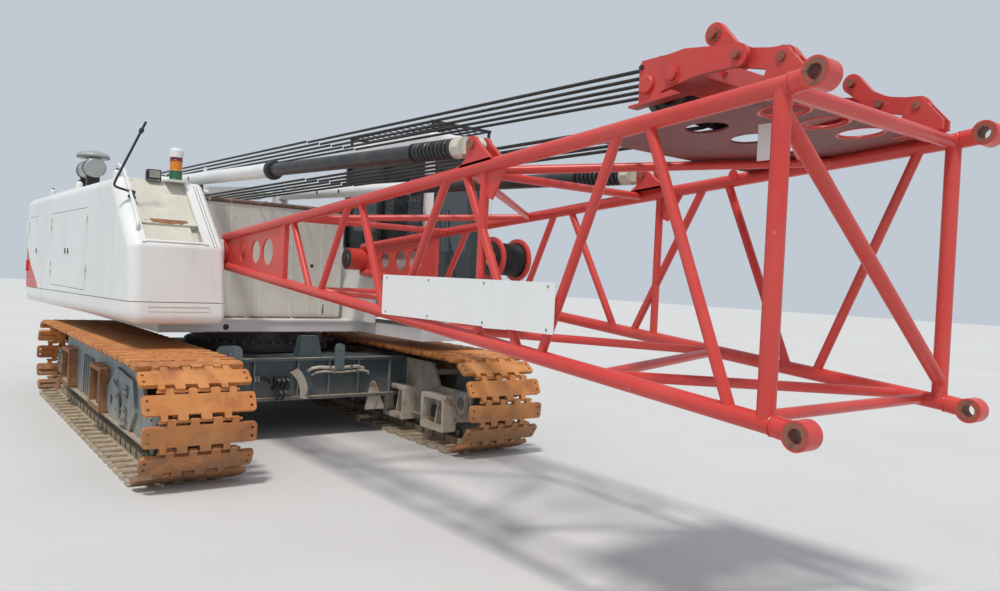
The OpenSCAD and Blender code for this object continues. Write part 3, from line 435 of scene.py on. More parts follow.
ROPE = surface("rope", (0.035, 0.033, 0.03), [((0.1, 0.09, 0.08), 60, (1, 0.5, 1.4), 0.5, 0.6, 0.7)],
    rough=0.5, metal=0.4, bump=0.6, bump_scale=120)
SILVER = surface("silver", (0.4, 0.41, 0.4), [((0.26, 0.26, 0.24), 4, 0.45, 0.8, 0.6)], rough=0.42,
    metal=0.3, bump=0.05)
SIGN = surface("sign", (0.82, 0.82, 0.81), [((0.68, 0.66, 0.63), 1.5, STREAK, 0.5, 0.8, 0.35)], rough=0.3,
    bump=0.02)
ORANGE = surface("orange", (0.75, 0.24, 0.03), [((0.5, 0.12, 0.03), 12, 0.45, 0.7, 0.6)], rough=0.2)
MAROON = surface("maroon", (0.22, 0.03, 0.02), [((0.1, 0.02, 0.02), 12, 0.45, 0.7, 0.6)], rough=0.25)
GREEN = surface("green", (0.03, 0.17, 0.07), [((0.02, 0.09, 0.05), 12, 0.45, 0.7, 0.6)], rough=0.22)
YELLOW = surface("yellow", (0.75, 0.55, 0.1), [((0.5, 0.32, 0.08), 30, 0.45, 0.65, 0.7)], rough=0.45)
VINYL = surface("vinyl", (0.025, 0.025, 0.028), [((0.06, 0.06, 0.06), 8, 0.5, 0.8, 0.5)], rough=0.55,
    bump=0.15, bump_scale=160)
LAMP = surface("lamp_lens", (0.35, 0.34, 0.3), [((0.2, 0.19, 0.16), 20, 0.45, 0.7, 0.6)], rough=0.15)
FLOOR = surface("floor", (0.6, 0.595, 0.58), [((0.54, 0.53, 0.51), 0.5, 0.4, 0.7, 0.5)], rough=0.85)
GLASS = surface("glass", (0.05, 0.07, 0.075), [((0.12, 0.13, 0.12), 2.5, 0.45, 0.8, 0.5)], rough=0.04)
GLASS.node_tree.nodes["Principled BSDF"].inputs["Alpha"].default_value = 0.5

# The material of every node that still shows, by the start of its name
NODE_MATERIALS = (
    # The carbody and the track wheels take the slate darkened as painted shade
    ("carbody", SHADED_SLATE), ("slew_ring", DARK), ("track_wheels", SHADED_SLATE), ("engine", DARK),
    ("cab_glass", GLASS), ("cab_guards", BLACK), ("boom_", RED), ("", WHITE),
)
for node_name, node in nodes.items():
    node.data.materials.clear()
    node.data.materials.append(next(m for start, m in NODE_MATERIALS if node_name.startswith(start)))


# Houses: shells with rounded outer edges, cut out for the doors, the skirt's seam and the slope's recess
FOLD = Vector((HOUSE_FRONT - FOLD_SHARE * LEAN, 0, FOLD_Z))
SLOPE_U = Vector(((FOLD_SHARE - 1) * LEAN, 0, ROOF_Z - FOLD_Z)).normalized()
SLOPE_N = Vector((SLOPE_U.z, 0, -SLOPE_U.x))
SLOPE = Matrix.Translation(FOLD) @ Matrix((SLOPE_U, (0, 1, 0), SLOPE_N)).transposed().to_4x4()
SEAM_REAR = 1.24
SEAM_FRONT = 1.305
DOOR_LOW = 1.33
DOOR_HIGH = 2.15
DOOR_GAP = 0.005
SKIRT_LOW = 1.055
POCKET_Y = (-1.51, -1.03)
DOORS = (("rear", HOUSE_REAR + 0.19, HOUSE_REAR + 0.87, 1, -3.13), ("middle", -2.18, -1.25, 1, -1.32),
    ("front", -1.25, -0.32, -1, -1.17))
HINGE_Z = (1.45, 1.95)
BARREL = 0.014
LEAF = 0.055
EDGE_OUT = 0.1
EDGE_IN = 0.06


def seam_z(x):
    return SEAM_REAR + (SEAM_FRONT - SEAM_REAR) * (x - HOUSE_REAR) / (HOUSE_FRONT - HOUSE_REAR)


def house_ring(front, y, d, low=SKIRT_LOW):
    outline = [(HOUSE_REAR, low), (front + 0.008, low + 0.06), (front - FOLD_SHARE * LEAN, FOLD_Z),
        (front - LEAN, ROOF_Z), (HOUSE_REAR, ROOF_Z)]
    return [(x, y, z) for x, z in rounded(inset(outline, d), [0.05, 0.08, 0.07, 0.08, 0.08])]


def house_shell(side, front):
    def ring(y, d):
        return house_ring(front, side * y, d)

    return soft_sided(ring, HOUSE_INNER, HOUSE_OUTER, EDGE_IN, EDGE_OUT, 6)


def house_cuts(side, front):
    """The room inside, open below, and the seam above the skirt."""
    room = Shape()
    room.loft([house_ring(front - 0.07, side * y, 0.04, 0.9)
        for y in (HOUSE_INNER + 0.04, HOUSE_OUTER - 0.06)], 1)
    seam = Shape()
    ends = ((HOUSE_REAR - 0.02, seam_z(HOUSE_REAR)), (HOUSE_FRONT + 0.02, SEAM_FRONT))
    seam.plate([(x, z - 0.003) for x, z in ends] + [(x, z + 0.003) for x, z in reversed(ends)],
        side * (HOUSE_INNER - 0.02), side * (HOUSE_OUTER + 0.02), 1)
    return [room, seam]


def door_outline(x0, x1, gap):
    return rect(x0 + gap, DOOR_LOW + gap, x1 - gap, DOOR_HIGH - gap, 0.03)


def hinge(shape, x, z, low, high, way, mat=0, side=-1):
    """A barrel between two heights above z, with its leaf on one side, on a right or left outer wall."""
    shape.disc((x, side * (HOUSE_OUTER + BARREL), z + low), UP, BARREL, high - low, 16, mat)
    shape.box((x, side * (HOUSE_OUTER + 0.004), z + low),
        (x + way * LEAF, side * (HOUSE_OUTER - 0.002), z + high), mat)


def on_stripe(name, z):
    return name == "rear" and z == HINGE_Z[0]


def house_right():
    cuts = house_cuts(-1, HOUSE_FRONT)
    for _, x0, x1, _, _ in DOORS:
        opening = Shape()
        opening.plate(door_outline(x0, x1, 0), -HOUSE_OUTER - 0.02, -HOUSE_OUTER + 0.09, 1)
        cuts.append(opening)
    # The slope's recess and the deeper pocket at its foot
    for x0, x1, depth in ((0.36, 1.1, 0.03), (0.06, 0.361, 0.07)):
        recess = Shape()
        recess.box((x0, POCKET_Y[0], -depth), (x1, POCKET_Y[1], 0.1), 1, SLOPE)
        cuts.append(recess)
    house_shell(-1, HOUSE_FRONT).build("house_right_shell", "superstructure", [WHITE, AGED], "white_paint",
        ["house_right"], bevel=0.004, cuts=cuts)


def house_trim():
    """Strips, seams, latches, rails, knobs and the stripe of the right house."""
    shape = Shape()
    for y0, y1 in ((-1.548, -1.516), (-1.024, -0.992)):
        shape.box((0.02, y0, -0.01), (0.9, y1, 0.014), 0, SLOPE)
    shape.box((0.03, -1.53, -0.01), (0.052, -1.01, 0.012), 0, SLOPE)
    # Shelf lip with peeled paint and two clips in the pocket
    shape.box((0.3, POCKET_Y[0], -0.068), (0.362, POCKET_Y[1], -0.012), 2, SLOPE)
    shape.box((0.09, -1.5, -0.069), (0.3, -1.09, -0.03), 2, SLOPE)
    patch = [(0.36, -1.43), (0.361, -1.11), (0.33, -1.1), (0.318, -1.14), (0.3, -1.16), (0.312, -1.2),
        (0.3, -1.25), (0.303, -1.3), (0.302, -1.345), (0.312, -1.38), (0.305, -1.4), (0.33, -1.42)]
    shape.plate(patch, -0.0135, -0.0105, 4, (), SLOPE @ FLAT)
    for y in (-1.44, -1.1):
        shape.box((0.07, y, -0.072), (0.11, y + 0.05, -0.05), 3, SLOPE)
    # Thin joints beside the recess and the joint line around the front skirt panel
    for y in (-0.948, -0.922):
        shape.box((0.0, y, -0.006), (0.88, y + 0.004, 0.0015), 3, SLOPE)
    panel = [(1.387, -1.5, 1.268), (1.387, -1.0, 1.268), (1.392, -1.0, 1.228), (1.392, -1.5, 1.228)]
    shape.path(panel, 0.003, 6, 2, closed=True)
    # Hinges' fixed barrels
    for name, x0, x1, way, _ in DOORS:
        for z in HINGE_Z:
            for low in (0, 0.1):
                hinge(shape, x0 if way > 0 else x1, z, low, low + 0.04, -way, 1 if on_stripe(name, z) else 0)
    # Knobs with black caps along the roof's edge
    for x in (-2.72, -1.22, 0.42):
        shape.lathe((x, -1.56, ROOF_Z - 0.03), UP,
            [(0, 0.036), (0.08, 0.034), (0.095, 0.022), (0.1, 0.02)], 20)
        shape.lathe((x, -1.56, ROOF_Z + 0.07), UP, [(0, 0.016), (0.01, 0.016), (0.016, 0.008)], 12, 3)
    shape.loft([rounded([(x, -1.575, ROOF_Z - 0.04), (x, -1.535, ROOF_Z - 0.04), (x, -1.535, ROOF_Z + 0.02),
        (x, -1.575, ROOF_Z + 0.012)], 0.008, 2) for x in (-2.6, -1.35)])
    # Lifting eyes and a hatch on the roof
    for x in (-3.5, -0.6):
        shape.plate(rounded([(x - 0.06, ROOF_Z - 0.01), (x + 0.06, ROOF_Z - 0.01), (x + 0.03, ROOF_Z + 0.08),
            (x - 0.03, ROOF_Z + 0.08)], 0.025), -1.23, -1.215, 0, [circle(x, ROOF_Z + 0.045, 0.018, 16)])
    for x0, x1 in ((-3.4, -2.95), (-1.75, -0.85)):
        shape.box((x0, -1.5, ROOF_Z - 0.01), (x1, -0.98, ROOF_Z + 0.012))
        for k in range(6):
            y = -1.45 + k * 0.075
            shape.box((x0 + 0.06, y, ROOF_Z + 0.01), (x1 - 0.06, y + 0.03, ROOF_Z + 0.024))
    # Grab rail on the roof's outer corner
    rail = [(0.32, -1.55, 2.37), (0.32, -1.555, 2.46), (0.38, -1.56, 2.51), (0.45, -1.56, 2.525),
        (0.67, -1.56, 2.45), (0.99, -1.56, 2.17), (1.19, -1.56, 1.985), (1.2, -1.56, 1.955),
        (1.17, -1.56, 1.92)]
    shape.path(rail, 0.013)
    shape.lathe((0.32, -1.55, 2.385), UP, [(0, 0.028), (0.006, 0.028), (0.006, 0.017)], 16)
    # Rear grille
    shape.box((HOUSE_REAR - 0.012, -1.5, 1.5), (HOUSE_REAR + 0.01, -0.98, 2.1))
    for k in range(9):
        slat = Matrix.Translation((HOUSE_REAR - 0.018, 0, 1.54 + k * 0.06)) @ Matrix.Rotation(0.7, 4, "Y")
        shape.box((-0.02, -1.46, -0.004), (0.02, -1.02, 0.004), 3, slat)
    shape.build("house_right_trim", "superstructure", [WHITE, RED, AGED, BLACK, BROWN], "white_paint",
        bevel=0.002, segments=1)
    # Red stripe behind the rear door and below it
    stripe = Shape()
    rear, edge, front, top = -3.86, DOORS[0][1], -3.02, DOOR_LOW - 0.001
    foot = {x: (x, seam_z(x) + 0.006) for x in (rear, edge, front)}
    for outline in ([foot[rear], foot[edge], (edge, 1.69), (rear, 1.77)],
            [foot[edge], foot[front], (-3.08, top), (edge, top)]):
        stripe.plate(outline, -HOUSE_OUTER - 0.0025, -HOUSE_OUTER + 0.0015)
    stripe.build("stripe_house", "superstructure", [RED], "red_paint")


def doors():
    for name, x0, x1, way, latch in DOORS:
        shape = Shape()
        shape.plate(door_outline(x0, x1, DOOR_GAP), -HOUSE_OUTER, -HOUSE_OUTER + 0.022)
        shape.plate(door_outline(x0, x1, 0.012), -HOUSE_OUTER + 0.02, -HOUSE_OUTER + 0.055, 1,
            [door_outline(x0, x1, 0.08)])
        for z in HINGE_Z:
            hinge(shape, x0 if way > 0 else x1, z, 0.042, 0.098, way, 3 if on_stripe(name, z) else 0)
        # Latch: a round white seat with a black handle
        shape.lathe((latch, -HOUSE_OUTER, 1.72), (0, -1, 0),
            [(-0.002, 0.042), (0.003, 0.042), (0.006, 0.036)])
        shape.box((latch - 0.02, -HOUSE_OUTER - 0.012, 1.69), (latch + 0.02, -HOUSE_OUTER - 0.002, 1.75), 2)
        if name == "rear":
            # The stripe goes on across the door's lower corner
            x, z = x0 + DOOR_GAP + 0.003, DOOR_LOW + DOOR_GAP + 0.003
            corner = [(x + 0.025, z), (-3.12, z), (-3.25, 1.4), (-3.4, 1.46), (-3.54, 1.53), (-3.68, 1.62),
                (x, 1.68), (x, z + 0.025), (x + 0.008, z + 0.008)]
            shape.plate(corner, -HOUSE_OUTER - 0.0015, -HOUSE_OUTER + 0.002, 3)
        shape.build("door_panel_" + name, "door_" + name, [WHITE, AGED, BLACK, RED], "white_paint",
            ["house_door_" + name], bevel=0.003)


def house_left():
    house_shell(1, LEFT_FRONT).build("house_left_shell", "superstructure", [WHITE, AGED], "white_paint",
        ["house_left"], bevel=0.004, cuts=house_cuts(1, LEFT_FRONT))
    shape = Shape()
    # Side panels with louvres and latches
    for x0, x1 in ((-3.8, -2.65), (-2.55, -1.4), (-1.3, -0.3)):
        shape.plate(rect(x0, 1.36, x1, 2.2, 0.03), HOUSE_OUTER - 0.004, HOUSE_OUTER + 0.008)
        for k in range(7):
            z = 1.9 + k * 0.035
            shape.box((x0 + 0.2, HOUSE_OUTER + 0.006, z), (x1 - 0.2, HOUSE_OUTER + 0.016, z + 0.016), 1)
        shape.lathe((x1 - 0.08, HOUSE_OUTER + 0.006, 1.72), LEFT, [(0, 0.035), (0.008, 0.03)], 20, 1)
    shape.box((-3.3, 0.98, ROOF_Z - 0.01), (-1.9, 1.5, ROOF_Z + 0.014))
    shape.path([(HOUSE_REAR - 0.01, y, z) for y, z in rect(1.0, 1.5, 1.5, 2.1)], 0.006, 8, closed=True)
    shape.build("house_left_trim", "superstructure", [WHITE, BLACK], "white_paint", bevel=0.003, segments=1)


# Fittings on the right house: air cleaner, work lamp, beacon and mirror
CLEANER = (-2.55, -1.25, ROOF_Z + 0.32)
BEACON = (0.69, -1.12, ROOF_Z)


def roof():
    shape = Shape()
    x, y, z = CLEANER
    shape.lathe((x, y, z), FORWARD, [(0, 0.02), (0, 0.095), (0.012, 0.107), (0.04, 0.11), (0.555, 0.11),
        (0.56, 0.116), (0.585, 0.116), (0.59, 0.11), (0.6, 0.1), (0.6, 0.02)], 48)
    for place in (0.1, 0.42):
        strap = [(0, 0.108), (0, 0.1145), (0.035, 0.1145), (0.035, 0.108)]
        shape.lathe((x + place, y, z), FORWARD, strap, 48, 1)
        shape.plate([(x + place - 0.02, ROOF_Z), (x + place + 0.06, ROOF_Z), (x + place + 0.05, z - 0.09),
            (x + place - 0.01, z - 0.09)], y - 0.07, y + 0.07, 1)
    x += 0.43
    shape.lathe((x, y, z), UP, [(0.02, 0.06), (0.15, 0.06), (0.15, 0.075)], 32)
    # Mushroom cap
    shape.lathe((x, y, z + 0.12), UP, [(0, 0.07), (0.0, 0.165), (0.008, 0.18), (0.03, 0.18), (0.05, 0.165),
        (0.07, 0.12), (0.085, 0.05), (0.088, 0.0)], 48)
    shape.hoop((x, y, z + 0.124), UP, 0.176, 0.005, 48, 1)
    shape.build("air_cleaner_look", "superstructure", [SILVER, DARK], "bare_steel", ["air_cleaner"],
        bevel=0.002, segments=1)
    lamps = Shape()
    lamps.box((0.5, -1.2, ROOF_Z - 0.01), (0.75, -1.03, ROOF_Z + 0.006), 0)
    # Beacon stack: green, orange and dark red lenses under a white cap
    for low, high, r, mat in ((0.006, 0.09, 0.056, 1), (0.09, 0.182, 0.054, 2), (0.182, 0.214, 0.054, 3)):
        lamps.lathe(BEACON, UP, [(low, r + 0.004), (low + 0.008, r + 0.004), (low + 0.011, r),
            (high - 0.006, r), (high, r + 0.003)], 36, mat)
    cap = [(0.214, 0.06), (0.27, 0.06), (0.288, 0.054), (0.3, 0.04), (0.305, 0.0)]
    lamps.lathe(BEACON, UP, cap, 36)
    # Work lamp with its lens and bracket
    lamps.box((0.55, -1.35, ROOF_Z + 0.004), (0.645, -1.235, ROOF_Z + 0.09), 5)
    lamps.box((0.644, -1.34, ROOF_Z + 0.014), (0.65, -1.245, ROOF_Z + 0.08), 4)
    for y in (-1.356, -1.233):
        lamps.box((0.58, y, ROOF_Z - 0.01), (0.62, y + 0.004, ROOF_Z + 0.07), 5)
    lamps.build("roof_lamps", "superstructure", [WHITE, GREEN, ORANGE, MAROON, LAMP, BLACK], "beacon_plastic",
        ["roof_fittings"], bevel=0.003)
    mirror = Shape()
    foot = Vector((0.841, -1.531, 2.2035))
    knee = foot + SLOPE_N * 0.052
    bend = Vector((0.93, -1.71, 2.277))
    ball = Vector((0.995, -1.51, 2.775))
    tip = Vector((1.01, -1.48, 2.852))
    mirror.lathe(foot, SLOPE_N, [(-0.01, 0.034), (0.006, 0.034), (0.01, 0.016), (0.04, 0.016),
        (0.04, 0.02), (0.062, 0.02), (0.064, 0.014)], 20)
    along = (bend - knee).normalized()
    up = (tip - bend).normalized()
    curve = ((-0.05, 0), (-0.02, 0.004), (-0.004, 0.02), (0, 0.05))
    mirror.path([knee, *(bend + along * a + up * b for a, b in curve), tip], 0.0105)
    mirror.lathe(ball, up, [(-0.025, 0.012), (-0.02, 0.02), (0.012, 0.02), (0.02, 0.012)], 16)
    mirror.bolts([foot + Vector((0, y, 0)) + SLOPE_N * 0.006 for y in (-0.024, 0.024)], SLOPE_N, 0.006, 0.006)
    mirror.build("mirror_rod", "superstructure", [BLACK], "black_paint", ["mirror_arm"])


# Cab: rounded shell with its windows, door, gaskets, inside and guards
CAB_REAR = 0.18
CAB_FRONT = 1.94
CAB_INNER = 0.85
CAB_WALL = 0.055
CAB_LOW = 1.18
CAB_TOP = 3.03
SILL = 1.9
DOOR_EDGE = 0.06
LINTEL = 2.86
CAB_DOOR = (0.9, 1.65)
CAB_HINGE_Z = (1.42, 2.58)
# Windows: two corners, their wall's outer face, the way out of it and the turn into its plane
WINDOWS = (
    (((CAB_INNER + 0.09, 1.5), (HOUSE_OUTER - 0.09, LINTEL)), CAB_FRONT, 1, ACROSS),
    (((CAB_INNER + 0.12, SILL + 0.2), (HOUSE_OUTER - 0.12, 2.66)), CAB_REAR, -1, ACROSS),
    (((CAB_REAR + 0.1, SILL), (CAB_REAR + 0.64, LINTEL)), HOUSE_OUTER, 1, None),
    (((CAB_FRONT - 0.9, CAB_INNER + 0.15), (CAB_FRONT - 0.3, HOUSE_OUTER - 0.15)), CAB_TOP, 1, FLAT),
    (((CAB_REAR + 0.1, SILL), (0.98, LINTEL)), CAB_INNER, -1, None),
    (((1.06, SILL), (CAB_FRONT - 0.1, LINTEL)), CAB_INNER, -1, None),
)


def frame_outline(pane, d, r):
    """A rounded rectangle grown by d around a pane given by two corners."""
    (x0, z0), (x1, z1) = pane
    return rect(x0 - d, z0 - d, x1 + d, z1 + d, r)


def window(shape, pane, t0, t1, d, turn=None, mat=0, hole=None):
    """Adds a plate for a pane, or a gasket around it when a hole is given, in its wall's plane."""
    holes = [frame_outline(pane, hole, 0.045)] if hole is not None else []
    shape.plate(frame_outline(pane, d, 0.05), t0, t1, mat, holes, turn)
    return shape


def cab_ring(y, d):
    outline = [(CAB_REAR, CAB_LOW), (CAB_FRONT, CAB_LOW), (CAB_FRONT, CAB_TOP), (CAB_REAR, CAB_TOP)]
    return [(x, y, z) for x, z in rounded(inset(outline, d), [0.03, 0.03, 0.07, 0.07])]


def cab():
    room = Shape()
    room.box((CAB_REAR + CAB_WALL, CAB_INNER + CAB_WALL, CAB_LOW + CAB_WALL),
        (CAB_FRONT - CAB_WALL, HOUSE_OUTER - CAB_WALL, CAB_TOP - CAB_WALL), 1)
    door = ((CAB_DOOR[0], CAB_LOW + DOOR_EDGE), (CAB_DOOR[1], LINTEL + DOOR_EDGE))
    openings = [window(Shape(), pane, wall - out * (CAB_WALL + 0.02), wall + out * 0.02, 0, turn, 1)
        for pane, wall, out, turn in (*WINDOWS[:4], (door, HOUSE_OUTER, 1, None), *WINDOWS[4:])]
    soft_sided(cab_ring, CAB_INNER, HOUSE_OUTER, 0.05, 0.05, 4).build("cab_body", "superstructure",
        [WHITE, VINYL], "white_paint", ["cab_shell"], bevel=0.004, cuts=[room, *openings])
    trim = Shape()
    for pane, wall, out, turn in WINDOWS:
        window(trim, pane, wall - out * 0.01, wall + out * 0.004, 0.022, turn, 0, -0.012)
    # Hinges' fixed barrels, a hand rail beside the door and a wiper on the front pane
    for z in CAB_HINGE_Z:
        for low in (0, 0.1):
            hinge(trim, CAB_DOOR[0], z, low, low + 0.04, -1, side=1)
    rail = [(0, 1.6), (0.04, 1.62), (0.04, 2.5), (0, 2.52)]
    trim.path([(1.78, HOUSE_OUTER + y, z) for y, z in rail], 0.011, 10)
    trim.lathe((CAB_FRONT + 0.002, 1.25, 1.46), FORWARD, [(0, 0.03), (0.02, 0.03), (0.026, 0.02)], 16)
    trim.path([(CAB_FRONT + 0.022, 1.25, 1.46), (CAB_FRONT + 0.026, 1.12, 1.96)], 0.006, 8)
    trim.path([(CAB_FRONT + 0.012, 1.14, 1.62), (CAB_FRONT + 0.012, 1.09, 2.28)], 0.007, 8)
    trim.build("cab_trim", "superstructure", [BLACK], "black_paint", bevel=0.002, segments=1)
    cab_inside()
    cab_door()
    cab_guards()


def cushion(name, centre, size, turn, channels):
    """A stuffed pad: crowned on its face, pulled in between its corners, with sewn channels across."""
    def bulge(value):
        return math.copysign(abs(value) ** 0.45, value)

    rings = []
    for i in range(33):
        v = math.sin(math.pi / 2 * 0.99 * (i / 16 - 1))
        pull = (1 - v ** 4) ** 0.25
        ring = []
        for k in range(64):
            u, w = bulge(math.cos(math.pi * k / 32)), bulge(math.sin(math.pi * k / 32))
            face = max(w, 0) * (0.22 * (1 - u * u) * (1 - v * v)
                - 0.16 * sum(math.exp(-((u - c) / 0.05) ** 2) for c in channels))
            ring.append((size[0] * u * pull * (1 - 0.04 * (1 - v * v)),
                size[1] * v * (1 - 0.03 * (1 - u * u)), size[2] * pull * (w * 0.85 + face)))
        rings.append(ring)
    shape = Shape()
    shape.loft(rings)
    shape.move(0, Matrix.Translation(centre) @ Matrix.Rotation(math.radians(turn), 4, "Y"))
    piece = shape.build(name, "superstructure", [VINYL], "seat_vinyl", smooth=80)


def cab_inside():
    shape = Shape()
    floor = CAB_LOW + CAB_WALL
    x, y = CAB_REAR + 0.42, CAB_INNER + 0.16
    middle = y + 0.25
    # Seat: mount, bellows, pan, shell and the head rest's posts, under three stuffed pads
    shape.box((x + 0.06, y + 0.06, floor), (x + 0.44, y + 0.44, floor + 0.05), 1)
    for k in range(4):
        d, z = 0.08 + 0.01 * k, floor + 0.05 + 0.04 * k
        shape.box((x + d, y + d, z), (x + 0.5 - d, y + 0.5 - d, z + 0.035))
    shape.box((x + 0.02, y + 0.02, floor + 0.2), (x + 0.5, y + 0.48, floor + 0.255), 1)
    shell = rounded([(x - 0.06, floor + 0.22), (x + 0.08, floor + 0.22), (x - 0.03, floor + 0.3),
        (x - 0.045, floor + 0.88), (x - 0.06, floor + 0.88)], 0.006)
    shape.plate(shell, y + 0.05, y + 0.45, 1)
    for side in (-0.06, 0.06):
        shape.path([(x - 0.01, middle + side, floor + z) for z in (0.86, 0.96)], 0.006, 8, 1)
    shape.build("seat", "superstructure", [VINYL, STEEL], "seat_vinyl", ["cab_seat"], bevel=0.004)
    cushion("seat_cushion", (x + 0.27, middle, floor + 0.31), (0.25, 0.245, 0.058), 2, (-0.45, 0.45))
    cushion("seat_back", (x + 0.012, middle, floor + 0.645), (0.255, 0.235, 0.05), 84, (-0.33, 0.33))
    cushion("seat_head_rest", (x - 0.004, middle, floor + 0.955), (0.042, 0.12, 0.036), 84, ())
    # Arm rests with their levers
    rest = Shape()
    for y in (middle - 0.3, middle + 0.3):
        arm = [(x, floor + 0.42), (x + 0.48, floor + 0.42), (x + 0.52, floor + 0.54), (x, floor + 0.54)]
        rest.plate(rounded(arm, 0.03), y - 0.045, y + 0.045)
        for k in (0.36, 0.44):
            rest.path([(x + k, y, floor + 0.53), (x + k + 0.03, y, floor + 0.66)], 0.007, 8)
            rest.lathe((x + k + 0.03, y, floor + 0.65), (0.2, 0, 1),
                [(0, 0.008), (0.012, 0.02), (0.035, 0.02), (0.045, 0.008)], 16)
    # Console with a display, pedals and a steering column's stub
    rest.plate(rounded([(1.55, floor), (1.83, floor), (1.83, floor + 0.34), (1.72, floor + 0.42),
        (1.6, floor + 0.3)], 0.03), CAB_INNER + 0.07, CAB_INNER + 0.2)
    rest.box((1.6, CAB_INNER + 0.09, floor + 0.62), (1.63, CAB_INNER + 0.29, floor + 0.78))
    rest.path([(1.64, CAB_INNER + 0.16, floor + 0.36), (1.62, CAB_INNER + 0.18, floor + 0.64)], 0.012, 8)
    for y in (CAB_INNER + 0.27, CAB_INNER + 0.42):
        rest.box((1.6, y, floor + 0.06), (1.74, y + 0.09, floor + 0.075))
        rest.path([(1.74, y + 0.045, floor + 0.065), (1.82, y + 0.045, floor)], 0.008, 8)
    rest.build("cab_controls", "superstructure", [VINYL], "seat_vinyl", bevel=0.006)


def cab_door():
    x0, x1 = CAB_DOOR
    outer = ((x0 + DOOR_GAP, CAB_LOW + DOOR_EDGE + DOOR_GAP), (x1 - DOOR_GAP, LINTEL + DOOR_EDGE - DOOR_GAP))
    pane = ((x0 + 0.09, SILL), (x1 - 0.09, LINTEL - 0.06))
    shape = Shape()
    shape.plate(frame_outline(outer, 0, 0.045), HOUSE_OUTER - CAB_WALL, HOUSE_OUTER, 0,
        [frame_outline(pane, 0, 0.04)])
    for z in CAB_HINGE_Z:
        hinge(shape, x0, z, 0.042, 0.098, 1, 1, 1)
    # Handle
    shape.box((x1 - 0.13, HOUSE_OUTER - 0.002, 1.74), (x1 - 0.03, HOUSE_OUTER + 0.012, 1.8), 1)
    shape.box((x1 - 0.12, HOUSE_OUTER + 0.01, 1.76), (x1 - 0.05, HOUSE_OUTER + 0.028, 1.78), 1)
    window(shape, pane, HOUSE_OUTER - 0.01, HOUSE_OUTER + 0.004, 0.02, None, 1, -0.012)
    window(shape, pane, HOUSE_OUTER - 0.034, HOUSE_OUTER - 0.026, 0.004, None, 2)
    shape.build("cab_door_panel", "cab_door", [WHITE, BLACK, GLASS], "white_paint", ["cab_door"], bevel=0.003)


def cab_guards():
    """Wire mesh inside the guards' frames."""
    mesh = Shape()
    top = CAB_TOP + 0.095
    for k in range(14):
        x = CAB_REAR + 0.1 + k * 0.12
        mesh.path([(x, CAB_INNER + 0.04, top), (x, HOUSE_OUTER - 0.04, top)], 0.0045, 6)
    x0, x1 = CAB_REAR + 0.88, CAB_FRONT - 0.06
    z0, z1 = 1.88, 2.88
    y = CAB_INNER - 0.025
    columns, rows = 16, 20
    for k in range(1, columns):
        x = x0 + (x1 - x0) * k / columns
        mesh.path([(x, y, z0), (x, y, z1)], 0.0028, 6)
    for k in range(1, rows):
        z = z0 + (z1 - z0) * k / rows
        mesh.path([(x0, y, z), (x1, y, z)], 0.0028, 6)
    mesh.bolts([(x, y - 0.006, z) for z in (z0, z1) for x in (x0, x1)], (0, -1, 0), 0.011, 0.006)
    mesh.build("guard_mesh", "superstructure", [BLACK], "black_paint")


# Winches: flanged drums wound with rope, and grooved sheave stacks
DRUMS = (("hoist_drum_front", "drum_front", -0.35), ("hoist_drum_rear", "drum_rear", -1.5),
    ("boom_hoist_drum", "drum_boom", HOUSE_REAR + 1.35))
DRUM_Z = 1.64
PEAK = Vector((HOUSE_REAR + 0.95, 0, 2.64))
HARP_AXLE = Vector((5.8, 0, 2.61))
PEAK_R = 0.19
HARP_R = 0.13
ROPE_PITCH = 0.12
ROPE_R = 0.011
ROPE_SIDE = Vector((0, 0.014, 0))


def drums():
    half_width, turns = 0.475, 44
    for node_name, body, x in DRUMS:
        shape = Shape()
        centre = (x, 0, DRUM_Z)
        for side in (-1, 1):
            shape.lathe(centre, (0, side, 0), [(half_width, 0.198), (half_width, 0.29), (0.48, 0.3),
                (0.5, 0.3), (0.505, 0.29), (0.505, 0.13), (0.515, 0.12), (0.515, 0.06)], 64)
            for r, n, size, height in ((0.165, 10, 0.014, 0.012), (0.27, 12, 0.01, 0.008)):
                places = [(px, side * 0.505, pz) for px, pz in circle(x, DRUM_Z, r, n)]
                shape.bolts(places, (0, side, 0), size, height)
        shape.lathe(centre, LEFT, [(-0.56, 0.059), (0.56, 0.059)], 32, 2)
        # Rope wound side by side
        profile = []
        for k in range(turns):
            y = half_width * (2 * (k + 0.5) / turns - 1)
            profile += [(y - 0.0105, 0.185), (y - 0.006, 0.196), (y, 0.2), (y + 0.006, 0.196)]
        shape.lathe(centre, LEFT, [(-half_width, 0.18), *profile, (half_width, 0.18)], 48, 1)
        shape.build(node_name + "_look", body, [RED, ROPE, STEEL], "bare_steel", [node_name], bevel=0.002,
            segments=1)


def sheave_stack(node_name, centre, r, axle):
    """Five grooved sheaves side by side, h being half of a hub's width."""
    shape = Shape()
    h = 0.05
    rising = [(-h, axle), (-h, axle + 0.025), (-h * 0.5, axle + 0.03), (-h * 0.5, r - 0.035),
        (-h * 0.8, r - 0.03), (-h * 0.8, r), (-h * 0.55, r), (-0.012, r - 0.018)]
    profile = [*rising, (0, r - 0.0205), *((-x, radius) for x, radius in reversed(rising))]
    for k in range(-2, 3):
        shape.lathe(centre + Vector((0, k * ROPE_PITCH, 0)), LEFT, profile, 56, hollow=True)
    shape.build(node_name + "_look", node_name, [DARK], "dark_steel", [node_name])


